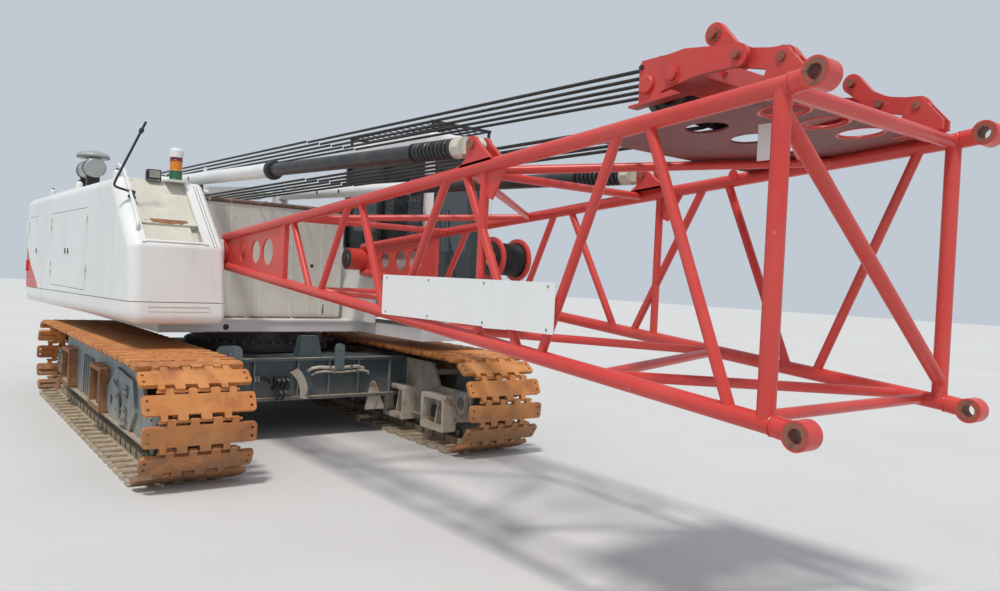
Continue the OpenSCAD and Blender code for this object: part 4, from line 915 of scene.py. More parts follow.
# Tracks: rounded plates with interlocking fingers, knuckles, pins and two holes at each end
SHOES = 58
PITCH_R = 0.38425
WHEEL_X = TRACK_HALF - TRACK_H / 2
RUN = 2 * WHEEL_X
SHOE_TOP = TRACK_H / 2 - PITCH_R
SHOE_HALF = 0.074
FINGER_REACH = 0.046
KNUCKLE_R = 0.021
AHEAD = ((-0.27, -0.21), (-0.15, -0.075), (0.015, 0.08), (0.175, 0.24))
BEHIND = ((-0.215, -0.155), (-0.075, 0.01), (0.09, 0.17), (0.23, 0.285))
GAP = 0.004


def loop_place(s):
    """Place and outward angle on a track's pitch line at distance s from the front of its top run."""
    bend = math.pi * PITCH_R
    if s < RUN:
        return WHEEL_X - s, TRACK_H / 2 + PITCH_R
    if s < RUN + bend:
        centre, angle = -WHEEL_X, math.pi / 2 + (s - RUN) / PITCH_R
    elif s < 2 * RUN + bend:
        return s - RUN - bend - WHEEL_X, TRACK_H / 2 - PITCH_R
    else:
        centre, angle = WHEEL_X, math.pi * 1.5 + (s - 2 * RUN - bend) / PITCH_R
    return centre + PITCH_R * math.cos(angle), TRACK_H / 2 + PITCH_R * math.sin(angle)


def shoe_outline():
    """The plate's edge with its fingers, along the track and across it."""
    points = [(-SHOE_HALF, -0.4), (SHOE_HALF, -0.4)]
    radii = [0.03, 0.03]
    for y0, y1 in AHEAD:
        points += [(SHOE_HALF, y0 + GAP), (SHOE_HALF + FINGER_REACH, y0 + GAP),
            (SHOE_HALF + FINGER_REACH, y1 - GAP), (SHOE_HALF, y1 - GAP)]
        radii += [0.004, 0.012, 0.012, 0.004]
    points += [(SHOE_HALF, 0.4), (-SHOE_HALF, 0.4)]
    radii += [0.03, 0.03]
    for y0, y1 in reversed(BEHIND):
        points += [(-SHOE_HALF, y1 - GAP), (-SHOE_HALF - FINGER_REACH, y1 - GAP),
            (-SHOE_HALF - FINGER_REACH, y0 + GAP), (-SHOE_HALF, y0 + GAP)]
        radii += [0.004, 0.012, 0.012, 0.004]
    return rounded(points, radii, 3)


def track_shoe():
    """One shoe: X along the track, Y out from the pitch line and Z across it."""
    shape = Shape()
    holes = [circle(x, y, 0.011, 8) for x in (-0.032, 0.032) for y in (-0.365, 0.365)]
    shape.plate([(x, y) for x, y in shoe_outline()], SHOE_TOP - 0.034, SHOE_TOP, 0, holes)
    for way, fingers in ((1, AHEAD), (-1, BEHIND)):
        for y0, y1 in fingers:
            centre = (way * 0.1, SHOE_TOP - KNUCKLE_R - 0.001, y0 + GAP)
            shape.lathe(centre, UP, [(0, KNUCKLE_R), (y1 - y0 - 2 * GAP, KNUCKLE_R)], 10)
    shape.lathe((0.1, SHOE_TOP - KNUCKLE_R - 0.001, -0.292), UP, [(0, 0.01), (0.584, 0.01)], 8)
    for y in (-0.145, 0.145):
        shape.box((-0.07, -0.03, y - 0.03), (0.07, SHOE_TOP - 0.02, y + 0.03))
    for y in (-0.3, 0.3):
        shape.box((-0.012, SHOE_TOP - 0.055, y - 0.08), (0.012, SHOE_TOP - 0.02, y + 0.08))
    shape.move(0, FLAT)
    return shape


def tracks():
    pitch = (2 * RUN + 2 * math.pi * PITCH_R) / SHOES
    shoe = track_shoe()
    for name, side in SIDES:
        shape = Shape()
        for i in range(SHOES):
            x0, z0 = loop_place((i + 0.35) * pitch % (pitch * SHOES))
            x1, z1 = loop_place((i + 1.35) * pitch % (pitch * SHOES))
            start = len(shape.verts)
            shape.add(shoe.verts, shoe.faces, 1 if z0 < 0.1 and z1 < 0.1 else 0)
            # Going over the top from the front, outward lies to the right of the way travelled
            turn = Matrix.Rotation(-math.atan2(z1 - z0, x1 - x0), 4, "Y") @ Matrix.Rotation(math.pi, 4, "X")
            middle = Vector(((x0 + x1) / 2, side * TRACK_Y, (z0 + z1) / 2))
            shape.move(start, Matrix.Translation(middle) @ turn)
        shape.build("track_shoes_" + name, "undercarriage", [RUSTY, DUSTY], "rusty_steel", ["track_" + name],
            place=LOWER, bevel=0.003, segments=1)


# Track frames: two side plates, a top deck, the boxes and yoke plate on their faces, ribs and hub covers
FRAME_FACE = 0.199
ROLLER_SPAN = 1.8475
FRAME_TOP = 0.773
FRAME_BOTTOM = 0.18
# Boxes on the frames: length, depth, lowest and highest place, 1 for the outer face, and their rear ends
BOXES = ((0.5, 0.09, 0.25, 0.66, 1, (-1.62, 0.08)), (0.42, 0.14, 0.16, 0.5, -1, (1.02, 1.78, -1.5, -2.2)))
YOKE = ((0.49, 0.42), (0.79, 0.2), (1.5, 0.23), (1.7, 0.42), (1.6, 0.67), (0.97, 0.71))


def track_frame(name, side, slate, rust):
    centre = side * TRACK_Y
    shape = Shape()

    def slab(outline, face, depth, mat, holes=()):
        """A plate on a face at a distance out from the frame's middle, on the side its sign says."""
        far = face + math.copysign(depth, face)
        shape.plate(outline, centre + side * face, centre + side * far, mat, holes)

    end = WHEEL_X + 0.15
    front = [(ROLLER_SPAN, FRAME_BOTTOM), (end, 0.3), (end, 0.56), (WHEEL_X - 0.42, 0.56),
        (WHEEL_X - 0.56, FRAME_TOP)]
    outline = [*front, *((-x, z) for x, z in reversed(front))]
    hubs = [circle(x, TRACK_H / 2, 0.0555, 28) for x in (-WHEEL_X, WHEEL_X)]
    hole = circle(0.8, 0.41, 0.045, 24)
    for way in (-1, 1):
        slab(rounded(outline, 0.03), way * 0.17, 0.03, 0, [*hubs, hole])
    shape.box((0.6 - WHEEL_X, centre - FRAME_FACE, FRAME_TOP - 0.13),
        (WHEEL_X - 0.6, centre + FRAME_FACE, FRAME_TOP - 0.08))
    for length, depth, z0, z1, way, rear_ends in BOXES:
        for x0 in rear_ends:
            x1 = x0 + length
            face = way * FRAME_FACE
            opening = rect(x0 + 0.04, z0 + 0.04, x1 - 0.04, z1 - 0.04, 0.03)
            slab(rect(x0, z0, x1, z1, 0.015), face, depth, 1, [opening])
            slab(opening, face, 0.006, 1)
            # Dust on the bottom, a leaning gusset and a clamp inside
            slab(rect(x0 + 0.04, z0 + 0.04, x1 - 0.04, z0 + 0.052), face, depth - 0.01, 2)
            gusset = ((0.45, z0 + 0.05), (0.5, z0 + 0.05), (0.62, z1 - 0.05), (0.57, z1 - 0.05))
            slab([(x0 + length * t, z) for t, z in gusset], face, depth * 0.7, 1)
            slab(rect(x0 + length * 0.2, z0 + 0.1, x0 + length * 0.36, z0 + 0.22, 0.02), face, depth * 0.5, 3)
    slab(rounded(YOKE, 0.012), FRAME_FACE, 0.028, 0, [hole])
    for k in range(5):
        x = -0.63 + k * 0.105
        slab(rect(x, 0.27, x + 0.024, 0.66), FRAME_FACE, 0.025, 0)
    # Lower flanges with dust on them
    for way in (-1, 1):
        slab(rect(-1.9, 0.232, 2.15, 0.246), way * FRAME_FACE, 0.045, 2)
    # Bolted plates on the yoke plate, and a pipe that runs over them
    for x0, x1, z0, z1 in ((1.05, 1.2, 0.34, 0.5), (1.28, 1.42, 0.3, 0.42), (1.3, 1.45, 0.5, 0.6)):
        slab(rect(x0, z0, x1, z1, 0.02), 0.227, 0.014, 0)
        y = centre + side * 0.241
        corners = rect(x0 + 0.025, z0 + 0.025, x1 - 0.025, z1 - 0.025)
        shape.bolts([(x, y, z) for x, z in corners], (0, side, 0), 0.011, 0.01, 1)
    pipe = ((0.95, 0.6), (1.1, 0.56), (1.2, 0.46), (1.22, 0.3), (1.3, 0.27), (1.46, 0.3))
    shape.path([(x, centre + side * 0.246, z) for x, z in pipe], 0.011, 10)
    # Hub covers with their bolts on the sprocket's and the idler's shafts
    for x in (-WHEEL_X, WHEEL_X):
        for way in (-1, 1):
            y = centre + way * 0.2
            shape.lathe((x, y, TRACK_H / 2), (0, way, 0), [(0, 0.115), (0.01, 0.115), (0.016, 0.105),
                (0.016, 0.056), (0, 0.056)], 40, 0, hollow=True)
            places = [(px, y + way * 0.016, pz) for px, pz in circle(x, TRACK_H / 2, 0.088, 8)]
            shape.bolts(places, (0, way, 0), 0.01, 0.01, 1)
    shape.build("frame_look_" + name, "undercarriage", [slate, rust, DUSTY, DARK], "slate_paint",
        ["track_frame_" + name], place=LOWER, bevel=0.003, segments=1)


def frames():
    track_frame("right", -1, SLATE, BROWN)
    track_frame("left", 1, FAR_SLATE, CREAM)


# Carbody's front beam: its face, its web behind, half its width and its flanges' inner faces
BEAM_FRONT = 1.2
BEAM_WEB = 1.16
BEAM_HALF = 1.1
BEAM_LOW = 0.404
BEAM_HIGH = 0.756
RING_BOLTS_R = 0.712
RING_BOLTS_Z = 0.879


def carbody_trim():
    shape = Shape()
    front, web = BEAM_FRONT, BEAM_WEB
    # Hoses and pipes across the front beam, with their clamps
    for y0, y1, z, r in ((0.1, 0.68, 0.69, 0.017), (0.14, 0.74, 0.65, 0.013), (-0.62, -0.3, 0.6, 0.012)):
        points = ((-0.01, y0, -0.04), (0.035, y0 + 0.03, -0.01), (0.04, y0 + 0.1, 0),
            (0.04, (y0 + y1) / 2, -0.012), (0.04, y1 - 0.08, 0), (0.02, y1, -0.02), (-0.01, y1 + 0.02, -0.05))
        shape.path([(web + dx, y, z + dz) for dx, y, dz in points], r, 10, 2 if y0 > 0 else 1)
        for y in (y0 + 0.2, y1 - 0.15):
            shape.box((web - 0.005, y, z - 0.03), (web + 0.06, y + 0.02, z + 0.022), 3)
    # Valve block with its fittings
    shape.box((web - 0.01, -0.25, 0.48), (web + 0.05, -0.1, 0.61), 1)
    for y, z in ((-0.22, 0.58), (-0.175, 0.58), (-0.13, 0.58), (-0.2, 0.47), (-0.15, 0.47)):
        shape.lathe((web + 0.05, y, z), FORWARD, [(0, 0.014), (0.02, 0.014), (0.024, 0.01), (0.045, 0.01)],
            12, 3)
        hose = ((0.05, 0, 0), (0.08, 0, -0.01), (0.06, -0.02, -0.07), (-0.01, -0.05, -0.08))
        shape.path([(web + dx, y + dy, z + dz) for dx, dy, dz in hose], 0.009, 8, 1)
    # Rounded upright plates on the beam and a pale triangular bracket beside the far frame
    bracket = [*arc(-0.24, 0.44, 0.33, -10, 48, 8), *reversed(arc(-0.24, 0.44, 0.25, -10, 56, 8))]
    shape.plate(bracket, web + 0.03, web + 0.042, 2, (), ACROSS)
    for y, z, r, width in ((0.405, 0.87, 0.05, 0.05), (-0.69, 0.84, 0.07, 0.12)):
        outline = rect(y - width, 0.66, y + width, z + r, [0.01, 0.01, r, r])
        shape.plate(outline, front - 0.005, front + 0.018, 0, (), ACROSS)
        shape.bolts([(front + 0.018, y, 0.7), (front + 0.018, y, z)], FORWARD, 0.013, 0.01, 3)
    brace = rounded([(0.72, 0.24), (0.95, 0.24), (0.83, 0.53), (0.79, 0.53)], 0.02)
    shape.plate(brace, web, web + 0.02, 2, (), ACROSS)
    # Gussets between the beam's flanges, and dust on both flanges
    for y in (-0.95, -0.45, -0.02, 0.3, 0.62, 0.98):
        shape.box((web - 0.002, y, BEAM_LOW), (front - 0.006, y + 0.014, BEAM_HIGH))
    for z0, z1 in ((BEAM_LOW, BEAM_LOW + 0.008), (BEAM_HIGH + 0.023, BEAM_HIGH + 0.028)):
        shape.box((web, -BEAM_HALF, z0), (front - 0.004, BEAM_HALF, z1), 4)
    # Bolts around the slewing ring
    shape.bolts([(x, y, RING_BOLTS_Z) for x, y in circle(0, 0, RING_BOLTS_R, 48)], UP, 0.013, 0.016, 3)
    shape.build("carbody_trim", "undercarriage", [SLATE, BLACK, CREAM, STEEL, DUSTY], "slate_paint",
        place=LOWER, bevel=0.002, segments=1)


# Front wall, deck edge and frame trims of the superstructure
WALL_FACE = 0.424
WALL_HALF = 0.74
WALL_TOP = 2.272
DECK_FRONT = 0.758
DECK_HALF = 0.84


def front_trim():
    shape = Shape()
    # The wall's face in the warmer white, darkened as painted shade
    shape.box((WALL_FACE - 0.024, -WALL_HALF, DECK_TOP), (WALL_FACE, WALL_HALF, WALL_TOP), 4)
    # Rusty rail along the top
    shape.path([(0.412, y, WALL_TOP + 0.018) for y in (-WALL_HALF, WALL_HALF)], 0.025, 20, 1)
    for y in (-0.49, -0.17, 0.16, 0.5):
        shape.box((WALL_FACE - 0.002, y, DECK_TOP + 0.01), (WALL_FACE + 0.004, y + 0.012, WALL_TOP - 0.022))
        shape.bolts([(WALL_FACE + 0.003, y + 0.04, z) for z in (1.25, 1.7, 2.15)], FORWARD, 0.008, 0.005)
    # A black plug and a mark on the wall
    shape.disc((WALL_FACE - 0.001, 0.4, 1.68), FORWARD, 0.02, 0.002, 20, 2)
    shape.box((WALL_FACE - 0.001, 0.54, 1.17), (WALL_FACE + 0.0015, 0.556, 1.27), 2)
    # Rusty flange at the wall's foot, and the deck's front edge with its hole
    shape.box((WALL_FACE - 0.002, -WALL_HALF, DECK_TOP), (0.47, WALL_HALF, DECK_TOP + 0.015), 1)
    shape.disc((DECK_FRONT + 0.0022, -0.62, 1.05), FORWARD, 0.03, 0.002, 24, 2)
    shape.box((DECK_FRONT, -DECK_HALF, 1.104), (DECK_FRONT + 0.014, DECK_HALF, 1.122))
    shape.box((DECK_FRONT, -DECK_HALF, 0.998), (DECK_FRONT + 0.008, DECK_HALF, 1.006), 1)
    for side in (-1, 1):
        # Caps and dark ends of the boom's foot pins
        out = (0, side, 0)
        shape.lathe((FOOT_X, side * 0.83, BOOM_Z), out, [(0, 0.07), (0.008, 0.07), (0.012, 0.06)], 32, 3)
        shape.bolts([(FOOT_X + dx, side * 0.84, BOOM_Z) for dx in (-0.045, 0.045)], out, 0.01, 0.006, 2)
        shape.lathe((FOOT_X, side * 0.531, BOOM_Z), (0, -side, 0),
            [(0, 0.0448), (0.004, 0.0448), (0.007, 0.04)], 28, 3)
        # Gantry pins, the ends of the sheaves' axle and bolts along the gantry
        shape.lathe((PEAK.x, side * 0.43, PEAK.z), out, [(0, 0.07), (0.045, 0.07), (0.05, 0.06)], 32, 3)
        shape.lathe((STOP_BACK, side * 0.465, STOP_Z), out, [(0, 0.05), (0.014, 0.05), (0.018, 0.044)], 28, 3)
        places = [(x, side * 0.466, 2.59 - (x + 1.2) * 0.05) for x in (-2.6, -2.1, -1.6)]
        shape.bolts(places, out, 0.016, 0.012, 3)
    shape.build("front_trim", "superstructure", [WHITE, RAIL, BLACK, DARK, SHADED_CREAM_WHITE], "white_paint",
        ["front_wall"], bevel=0.002, segments=1)


# Backstops: a tube with holes, lifting eyes and a mouth flange, and a rod with a spring and a nut
STOP_A = Vector((STOP_BACK, 0, STOP_Z))
STOP_SPAN = Vector((STOP_HEAD[0], 0, STOP_HEAD[1])) - STOP_A
STOP_LENGTH = STOP_SPAN.length
STOP_TURN = Matrix.Rotation(-math.atan2(STOP_SPAN.z, STOP_SPAN.x), 4, "Y")


def backstops():
    for name, side in SIDES:
        place = UPPER @ Matrix.Translation(STOP_A + Vector((0, side * STOP_Y, 0))) @ STOP_TURN
        tube = Shape()
        tube.lathe((0, 0, 0), FORWARD, [(3.1, 0.0623), (3.1, 0.066), (3.13, 0.066), (3.13, 0.083),
            (3.165, 0.083), (3.17, 0.075), (3.185, 0.07), (3.185, 0.0537)], 40)
        tube.bolts([(3.13, y, z) for y, z in circle(0, 0, 0.0745, 8)], (-1, 0, 0), 0.006, 0.008, 2)
        for x in ((1.1,) if side < 0 else (1.17, 1.7)):
            tube.disc((x, -0.0605, 0), (0, -1, 0), 0.021, 0.0022, 20)
        eye = [(1.38, 0.055), (1.46, 0.055), (1.45, 0.105), (1.39, 0.105)]
        tube.plate(rounded(eye, 0.02), -0.008, 0.008, 1, [circle(1.42, 0.083, 0.011, 14)])
        if side > 0:
            for x in (-0.15, 0.1, 0.5, 0.7):
                tube.box((x, -0.045, 0.055), (x + 0.12, 0.045, 0.075), 1)
        tube.disc((0, -0.0425, 0), (0, -1, 0), 0.05, 0.003, 24, 1)
        tube.build("stop_tube_trim_" + name, "stop_tube_" + name, [BLACK, WHITE, STEEL], "black_paint",
            place=place, bevel=0.002, segments=1)
        rod = Shape()
        begin, first = STOP_LENGTH - 0.66, TUBE_LENGTH - 0.25
        coils, steps = 10, 18
        turns = []
        for k in range(coils * steps + 1):
            a = 2 * math.pi * k / steps
            turns.append((begin + 0.02 + 0.42 * k / (coils * steps), 0.05 * math.cos(a), 0.05 * math.sin(a)))
        rod.path(turns, 0.012, 8)
        rod.lathe((0, 0, 0), FORWARD, [(first, 0.02), (first, 0.0528), (begin - 0.03, 0.0528),
            (begin - 0.02, 0.061), (begin + 0.004, 0.061), (begin + 0.008, 0.036), (begin + 0.46, 0.036)], 36)
        # Worn white nut between two washers
        for low, high, r, n in ((0.45, 0.462, 0.062, 36), (0.462, 0.52, 0.06, 8), (0.52, 0.534, 0.062, 36)):
            rod.lathe((begin, 0, 0), FORWARD, [(low, 0.03), (low, r), (high, r), (high, 0.03)], n, 1)
        eye = [(STOP_LENGTH - 0.14, -0.04), (STOP_LENGTH, -0.048), (STOP_LENGTH + 0.048, 0),
            (STOP_LENGTH, 0.048), (STOP_LENGTH - 0.14, 0.04)]
        rod.plate(rounded(eye, 0.03), -0.025, 0.025, 1, [circle(STOP_LENGTH, 0, 0.0225, 20)])
        rod.build("stop_rod_look_" + name, "stop_rod_" + name, [DARK, AGED], "dark_steel",
            ["backstop_rod_" + name], place=place)


# Boom hoist ropes between both sheave stacks, in a rear half and a front half
def ropes():
    rear, front = Shape(), Shape()
    meet = 1.575
    for k in range(-2, 3):
        for level in (-1, 1):
            a = PEAK + Vector((0, k * ROPE_PITCH, level * (PEAK_R + ROPE_R)))
            b = HARP_AXLE + Vector((0, k * ROPE_PITCH, level * (HARP_R + ROPE_R)))
            middle = a.lerp(b, (meet - a.x) / (b.x - a.x))
            rear.path([a - ROPE_SIDE, middle - ROPE_SIDE], ROPE_R, 8)
            front.path([middle + ROPE_SIDE, b + ROPE_SIDE], ROPE_R, 8)
        for shape, c, r, way in ((rear, PEAK, PEAK_R, -1), (front, HARP_AXLE, HARP_R, 1)):
            centre = c + way * ROPE_SIDE + Vector((0, k * ROPE_PITCH, 0))
            bend = arc(0, 0, r + ROPE_R, -90, 90, 12)
            shape.path([centre + Vector((way * x, 0, z)) for x, z in bend], ROPE_R, 8)
    rear.build("ropes_rear", "superstructure", [ROPE], "dark_steel", ["hoist_ropes_rear"])
    front.build("ropes_front", "boom", [ROPE], "dark_steel", ["hoist_ropes_front"])


# Boom: weld beads, lug faces, foot discs and pins on the tubes, deck, harp, links, reel and sign
DECK_TURN = Matrix.Translation((FOOT_X, 0, BOOM_Z + FOOT_HALF)) @ Matrix.Rotation(-math.atan(TAPER), 4, "Y")
DECK_LIFT = LACE_R + 0.002
STRETCH = math.sqrt(1 + TAPER ** 2)
LINK_A = (6.31, 2.715)
LINK_P = (6.46, 2.59)
LINK_B = (6.655, 2.553)
LINK_Y = 0.55
HARP_HALF = 0.42
ARM_Y = 0.6
CROSS_HALF = 0.605
LINK_PIN_R = 0.0198
REEL = (4.93, 1.745)


def lacing():
    """The left side's and the bottom's lacing: the left side has the right side's places upside down."""
    def at(x, y, level):
        return Vector((x, y * CHORD_Y, BOOM_Z + level * half(x)))

    left, bottom = Shape(), Shape()
    low, high = (2.35, 3.45, 4.66, 6.01), (2.88, 3.99, 5.37, 6.68)
    for x0, x1 in zip(low, high):
        left.path([at(x0 + LACE_APART, 1, -1), at(x1 - LACE_APART, 1, 1)], LACE_R, 24)
    for x0, x1 in zip(high, low[1:]):
        left.path([at(x0 + LACE_APART, 1, 1), at(x1 - LACE_APART, 1, -1)], LACE_R, 24)
    post = CHORD_END - 0.05
    left.path([at(post, 1, 1), at(post, 1, -1)], POST_R, 28)
    left.path([at(BRACE_X, 1, 1), at(BRACE_X, 1, -1)], LACE_R, 24)
    top, tip = at(BRACE_X, 1, 1), at(BRACE_X + 0.21, 1, 1)
    left.plate([(top.x, top.z), (tip.x, tip.z), (BRACE_X + 0.075, 2.06), (BRACE_X, 2.09)], CHORD_Y - 0.006,
        CHORD_Y + 0.006)
    left.build("boom_lacing_left_look", "boom", [RED], "red_paint", ["boom_lacing_left"])
    for x0, x1 in ((2.76, 2.76), (2.76, 3.87), (4.56, 3.87), (4.56, 5.43), (5.87, 5.43), (5.87, 6.56),
            (CHORD_END - 0.13, CHORD_END - 0.13)):
        bottom.path([at(x0, -1, -1), at(x1, 1, -1)], LACE_R, 24)
    drop = Vector((0, 0, 0.095))
    bottom.path([at(post, -1, 1) - drop, at(post, 1, -1) + drop], POST_R - 0.003, 28)
    bottom.build("boom_lacing_bottom_look", "boom", [RED], "red_paint", ["boom_lacing_bottom"])


def deck():
    shape = Shape()
    x0, x1 = ((x - FOOT_X) * STRETCH for x in (5.62, 6.68))
    places = [((x - FOOT_X) * STRETCH, y) for x, spread in ((6.12, 0.35), (6.5, 0.32))
        for y in (-spread, 0.0, spread)]
    # The deck plate takes the dark red, which paints the shade under the deck
    shape.plate(rect(x0, -CHORD_Y, x1, CHORD_Y, 0.02), DECK_LIFT, DECK_LIFT + 0.01, 2,
        [circle(x, y, 0.1, 32) for x, y in places], FLAT)
    for x, y in places[3:]:
        shape.lathe((x, y, DECK_LIFT - 0.004), UP, circle(0.009, 0.108, 0.009, 8), 32, 0, hollow=True)
    shape.box((x1 - 0.02, -0.62, DECK_LIFT - 0.03), (x1 + 0.002, 0.62, DECK_LIFT + 0.012))
    shape.move(0, DECK_TURN)
    # A flat brace below the deck
    a, b = Vector((6.46, -0.24, 0)), Vector((6.0, 0.66, 0))
    for p in (a, b):
        p.z = BOOM_Z + half(p.x) + 0.004
    across = (b - a).cross(Vector((0, 0, 1))).normalized() * 0.028
    thick = Vector((0, 0, 0.018))
    shape.loft([[p - across, p + across, p + across + thick, p - across + thick] for p in (a, b)], 0)
    for side in (-1, 1):
        brackets(shape, side)
    shape.build("boom_deck_look", "boom", [RED, WORN, SHADED_RED], "red_paint", ["boom_deck"], bevel=0.002,
        segments=1)


def top_of_chord(x):
    return (x, BOOM_Z + half(x) + CHORD_R * 0.6)


def brackets(shape, side):
    """Seats of the harp's link and of the backstop's head on one top chord."""
    x, z = STOP_HEAD
    rear, front = top_of_chord(x - 0.115), top_of_chord(x + 0.19)
    end = CHORD_END - 0.02
    seat = [top_of_chord(LINK_B[0] - 0.11), top_of_chord(end), (end, top_of_chord(CHORD_END)[1] + 0.045),
        *arc(*LINK_B, 0.044, 20, 150, 6)]
    head = [rear, front, *arc(x, z, 0.05, 20, 160, 6), (x - 0.046, z - 0.075)]
    foot = [rear, front, (front[0], front[1] + 0.014), (rear[0], rear[1] + 0.014)]
    for outline, y, width in ((seat, LINK_Y - 0.026, 0.02), (seat, LINK_Y + 0.036, 0.02),
            (head, STOP_Y - 0.057, 0.025), (head, STOP_Y + 0.032, 0.025), (foot, STOP_Y - 0.057, 0.114)):
        shape.plate(outline, side * y, side * (y + width))
    for (x, z), y, width, r in ((LINK_B, LINK_Y - 0.034, 0.098, 0.02),
            (STOP_HEAD, STOP_Y - 0.072, 0.015, 0.03), (STOP_HEAD, STOP_Y + 0.057, 0.015, 0.03)):
        shape.disc((x, side * y, z), (0, side, 0), r, width, 20, 1)


def harp():
    shape = Shape()
    outline = [(5.75, 2.505), (6.22, 2.546), (6.26, 2.596), (6.25, 2.69), (6.19, 2.712), (6.06, 2.738),
        (5.76, 2.733), (5.745, 2.7)]
    arm = [(6.06, 2.5), (6.26, 2.54), (6.39, 2.544), *arc(*LINK_P, 0.05, -110, 80, 10), (6.38, 2.645),
        (6.19, 2.668), (6.05, 2.655)]
    seat = rounded([(6.095, 2.52), (6.165, 2.525), (6.165, 2.605), (6.095, 2.605)], 0.02)
    # Cross box between the sheaves and the links
    shape.plate(rounded([(6.06, 2.52), (6.24, 2.55), (6.24, 2.645), (6.06, 2.645)], 0.01), -CROSS_HALF,
        CROSS_HALF)
    shape.box((5.87, -0.424, 2.522), (5.886, -0.418, 2.735))
    for side in (-1, 1):
        for plate, y0, y1 in ((outline, HARP_HALF - 0.02, HARP_HALF), (arm, ARM_Y, ARM_Y + 0.025),
                (seat, ARM_Y + 0.024, ARM_Y + 0.031)):
            shape.plate(plate, side * y0, side * y1)
        # Bottom flange, caps, bolts and pins
        shape.loft([[(x, side * y, z + dz) for y, dz in rect(0.395, 0, 0.46, 0.012)]
            for x, z in ((5.72, 2.5), (6.22, 2.543))])
        out = (0, side, 0)
        shape.lathe((HARP_AXLE.x, side * HARP_HALF, HARP_AXLE.z), out,
            [(-0.002, 0.045), (0.012, 0.045), (0.018, 0.038), (0.018, 0.02)], 32)
        shape.lathe((6.13, side * (ARM_Y + 0.03), 2.566), out,
            [(0, 0.031), (0.014, 0.031), (0.018, 0.025)], 28)
        for (x, z), low, high in ((LINK_P, 0.53, 0.65), (LINK_A, 0.525, 0.605)):
            shape.disc((x, side * low, z), out, LINK_PIN_R, high - low, 24, 2)
        shape.bolts([(x, side * HARP_HALF, 2.7) for x in (5.76, 6.12)], out, 0.014, 0.01, 1)
    shape.disc((HARP_AXLE.x, -HARP_HALF, HARP_AXLE.z), LEFT, 0.0398, 2 * HARP_HALF, 28, 1)
    shape.build("harp_look", "boom", [RED, DARK, WORN], "red_paint", ["harp"], bevel=0.003, segments=1)


def links():
    shape = Shape()
    outline = [*arc(*LINK_A, 0.05, 45, 245, 12), (6.36, 2.61), *arc(*LINK_P, 0.046, 215, 285, 5),
        *arc(*LINK_B, 0.05, -95, 95, 12), (6.59, 2.606), (6.5, 2.622), (6.42, 2.664)]
    bore = LINK_PIN_R + 0.0004
    for side in (-1, 1):
        shape.plate(outline, side * LINK_Y, side * (LINK_Y + 0.03), 0,
            [circle(*place, bore) for place in (LINK_A, LINK_P, LINK_B)])
        for x, z in (LINK_A, LINK_B):
            shape.lathe((x, side * (LINK_Y + 0.03), z), (0, side, 0),
                [(0, bore), (0, 0.034), (0.004, 0.034), (0.004, bore)], 24, 1, hollow=True)
    shape.build("harp_links_look", "boom", [RED, WORN], "red_paint", ["harp_links"], bevel=0.003)


def reel():
    shape = Shape()
    x, z = REEL
    rim = [(0, 0.0945), (-0.003, 0.098), (-0.003, 0.116), (0, 0.12)]
    for y in (-0.66, -0.48):
        shape.lathe((x, y, z), LEFT, [*rim, *((0.015 - s, r) for s, r in reversed(rim))], 48, hollow=True)
        shape.disc((x, y + 0.002, z), LEFT, 0.096, 0.011, 48, 1)
    coil = []
    for k in range(11):
        y = -0.64 + 0.0145 * k
        coil += [(y, 0.083), (y + 0.004, 0.09), (y + 0.0105, 0.09)]
    shape.lathe((x, 0, z), LEFT, [(-0.643, 0.08), *coil, (-0.482, 0.08)], 40, 1)
    for y, way in ((-0.658, -1), (-0.467, 1)):
        shape.lathe((x, y, z), (0, way, 0), [(0, 0.042), (0.006, 0.042), (0.01, 0.036), (0.01, 0.0)], 32, 2)
        shape.bolts([(px, y, pz) for px, pz in circle(x, z, 0.062, 6)], (0, way, 0), 0.006, 0.006, 1)
    shape.build("cable_reel_look", "cable_reel", [RED, BLACK, YELLOW], "red_paint", ["cable_reel"],
        bevel=0.0015, segments=1)


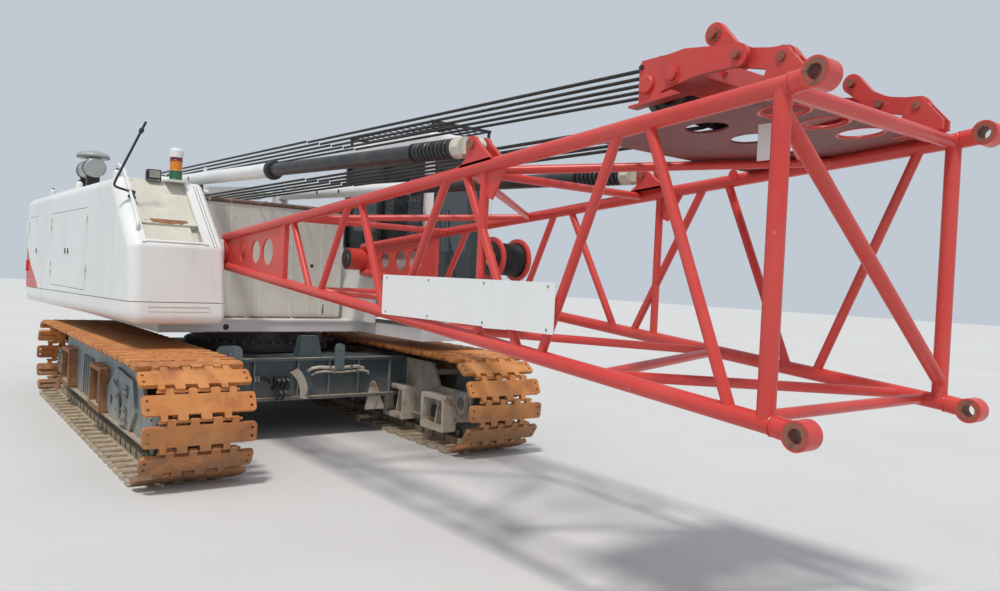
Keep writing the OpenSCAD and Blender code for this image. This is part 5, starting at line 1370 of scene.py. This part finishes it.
def boom_trim():
    shape = Shape()
    for side in (-1, 1):
        for level in (-1, 1):
            # Rusty machined faces around the end lugs' bores
            z = BOOM_Z + level * LUG_HALF
            for way in (-1, 1):
                shape.lathe((BOOM_END, side * CHORD_Y + way * 0.0445, z), (0, way, 0),
                    [(0, 0.0292), (0.0015, 0.0292), (0.0015, 0.05), (0, 0.05)], 36, 1, hollow=True)
            shape.lathe((BOOM_END, side * CHORD_Y - 0.045, z), LEFT,
                [(0, 0.0288), (0, 0.0294), (0.09, 0.0294), (0.09, 0.0288)], 36, 1, hollow=True)
            # Weld bead between chord and lug
            x = CHORD_END - 0.02
            shape.hoop((x, side * CHORD_Y, BOOM_Z + level * half(x)), (1, 0, level * TAPER),
                CHORD_R + 0.0005, 0.005)
        # Dark rusty discs on the foot bosses
        for way, y in ((1, 0.763), (-1, 0.535)):
            shape.lathe((FOOT_X, side * y, BOOM_Z), (0, side * way, 0),
                [(0, 0.0455), (0.003, 0.0455), (0.003, 0.1), (0, 0.1)], 40, 2, hollow=True)
    # Stub on the far top chord and a blank tag on the near lacing
    shape.lathe((5.54, CHORD_Y - CHORD_R + 0.006, 2.32), (0, -1, 0), [(0, 0.014), (0.03, 0.014), (0.03, 0.03),
        (0.038, 0.03)], 20, 0)
    shape.build("boom_trim", "boom", [RED, WORN, DARK], "red_paint")
    plate = Shape()
    x0, x1, z0, z1 = 3.95, 5.59, 1.375, 1.628
    y = -CHORD_Y - CHORD_R
    plate.plate(rect(x0, z0, x1, z1, 0.012), y - 0.004, y)
    heads = [(x, y - 0.004, z) for x in (x0 + 0.05, 4.48, 5.02, x1 - 0.05) for z in (z0 + 0.02, z1 - 0.02)]
    plate.bolts(heads, (0, -1, 0), 0.007, 0.003, 1)
    plate.box((6.5, -0.506, 2.17), (6.565, -0.502, 2.32), 0)
    plate.build("sign", "boom", [SIGN, STEEL], "sign_white", ["sign_plate"])


# Camera at the photograph's place, with its lens, and the light of a bright hazy day
CAMERA_PLACE = Vector((SLEW_X + 8.499, -3.406, 1.631))
CAMERA_TURN = (38.36, 1.13, 2.71)
SENSOR = 36
LENS = 29.23
FLOOR_SIZE = 60
SUN_WAY = Vector((-0.232, 0.297, -0.927))
SUN_COLOUR = (1.0, 0.97, 0.93)
SUN_POWER = 2.3
SUN_WIDTH = 8
SKY_COLOUR = (0.82, 0.9, 1.0, 1)
SKY_POWER = 0.65


def camera():
    yaw, pitch, roll = (math.radians(a) for a in CAMERA_TURN)
    ahead = Vector((-math.cos(yaw), math.sin(yaw), 0))
    right = Vector((math.sin(yaw), math.cos(yaw), 0))
    up = Vector(UP)
    look = ahead * math.cos(pitch) - up * math.sin(pitch)
    top = up * math.cos(pitch) + ahead * math.sin(pitch)
    image_x = right * math.cos(roll) + top * math.sin(roll)
    image_y = top * math.cos(roll) - right * math.sin(roll)
    data = bpy.data.cameras.new("camera")
    data.sensor_width = SENSOR
    data.lens = LENS
    data.clip_end = 200
    eye = bpy.data.objects.new("camera", data)
    bpy.context.scene.collection.objects.link(eye)
    turn = Matrix((image_x, image_y, -look)).transposed().to_4x4()
    eye.matrix_world = Matrix.Translation(CAMERA_PLACE) @ turn
    bpy.context.scene.camera = eye


def stage():
    scene = bpy.context.scene
    floor = Shape()
    floor.add([(x, y, 0) for x, y in rect(-FLOOR_SIZE, -FLOOR_SIZE, FLOOR_SIZE, FLOOR_SIZE)], [(0, 1, 2, 3)])
    ground = bpy.data.objects.new("floor", floor.mesh("floor", [FLOOR], UPPER))
    scene.collection.objects.link(ground)
    data = bpy.data.lights.new("sun", "SUN")
    data.energy = SUN_POWER
    data.angle = math.radians(SUN_WIDTH)
    data.color = SUN_COLOUR
    sun = bpy.data.objects.new("sun", data)
    sun.rotation_mode = "QUATERNION"
    sun.rotation_quaternion = SUN_WAY.to_track_quat("-Z", "Y")
    scene.collection.objects.link(sun)
    world = bpy.data.worlds.new("world")
    world.use_nodes = True
    sky = world.node_tree.nodes["Background"].inputs
    sky["Color"].default_value = SKY_COLOUR
    sky["Strength"].default_value = SKY_POWER
    scene.world = world
    scene.view_settings.view_transform = "Standard"


house_right()
house_trim()
doors()
house_left()
roof()
cab()
drums()
sheave_stack("gantry_sheaves", PEAK, PEAK_R, 0.0455)
sheave_stack("harp_sheaves", HARP_AXLE, HARP_R, 0.0405)
tracks()
frames()
carbody_trim()
front_trim()
backstops()
ropes()
lacing()
deck()
harp()
links()
reel()
boom_trim()
camera()
stage()
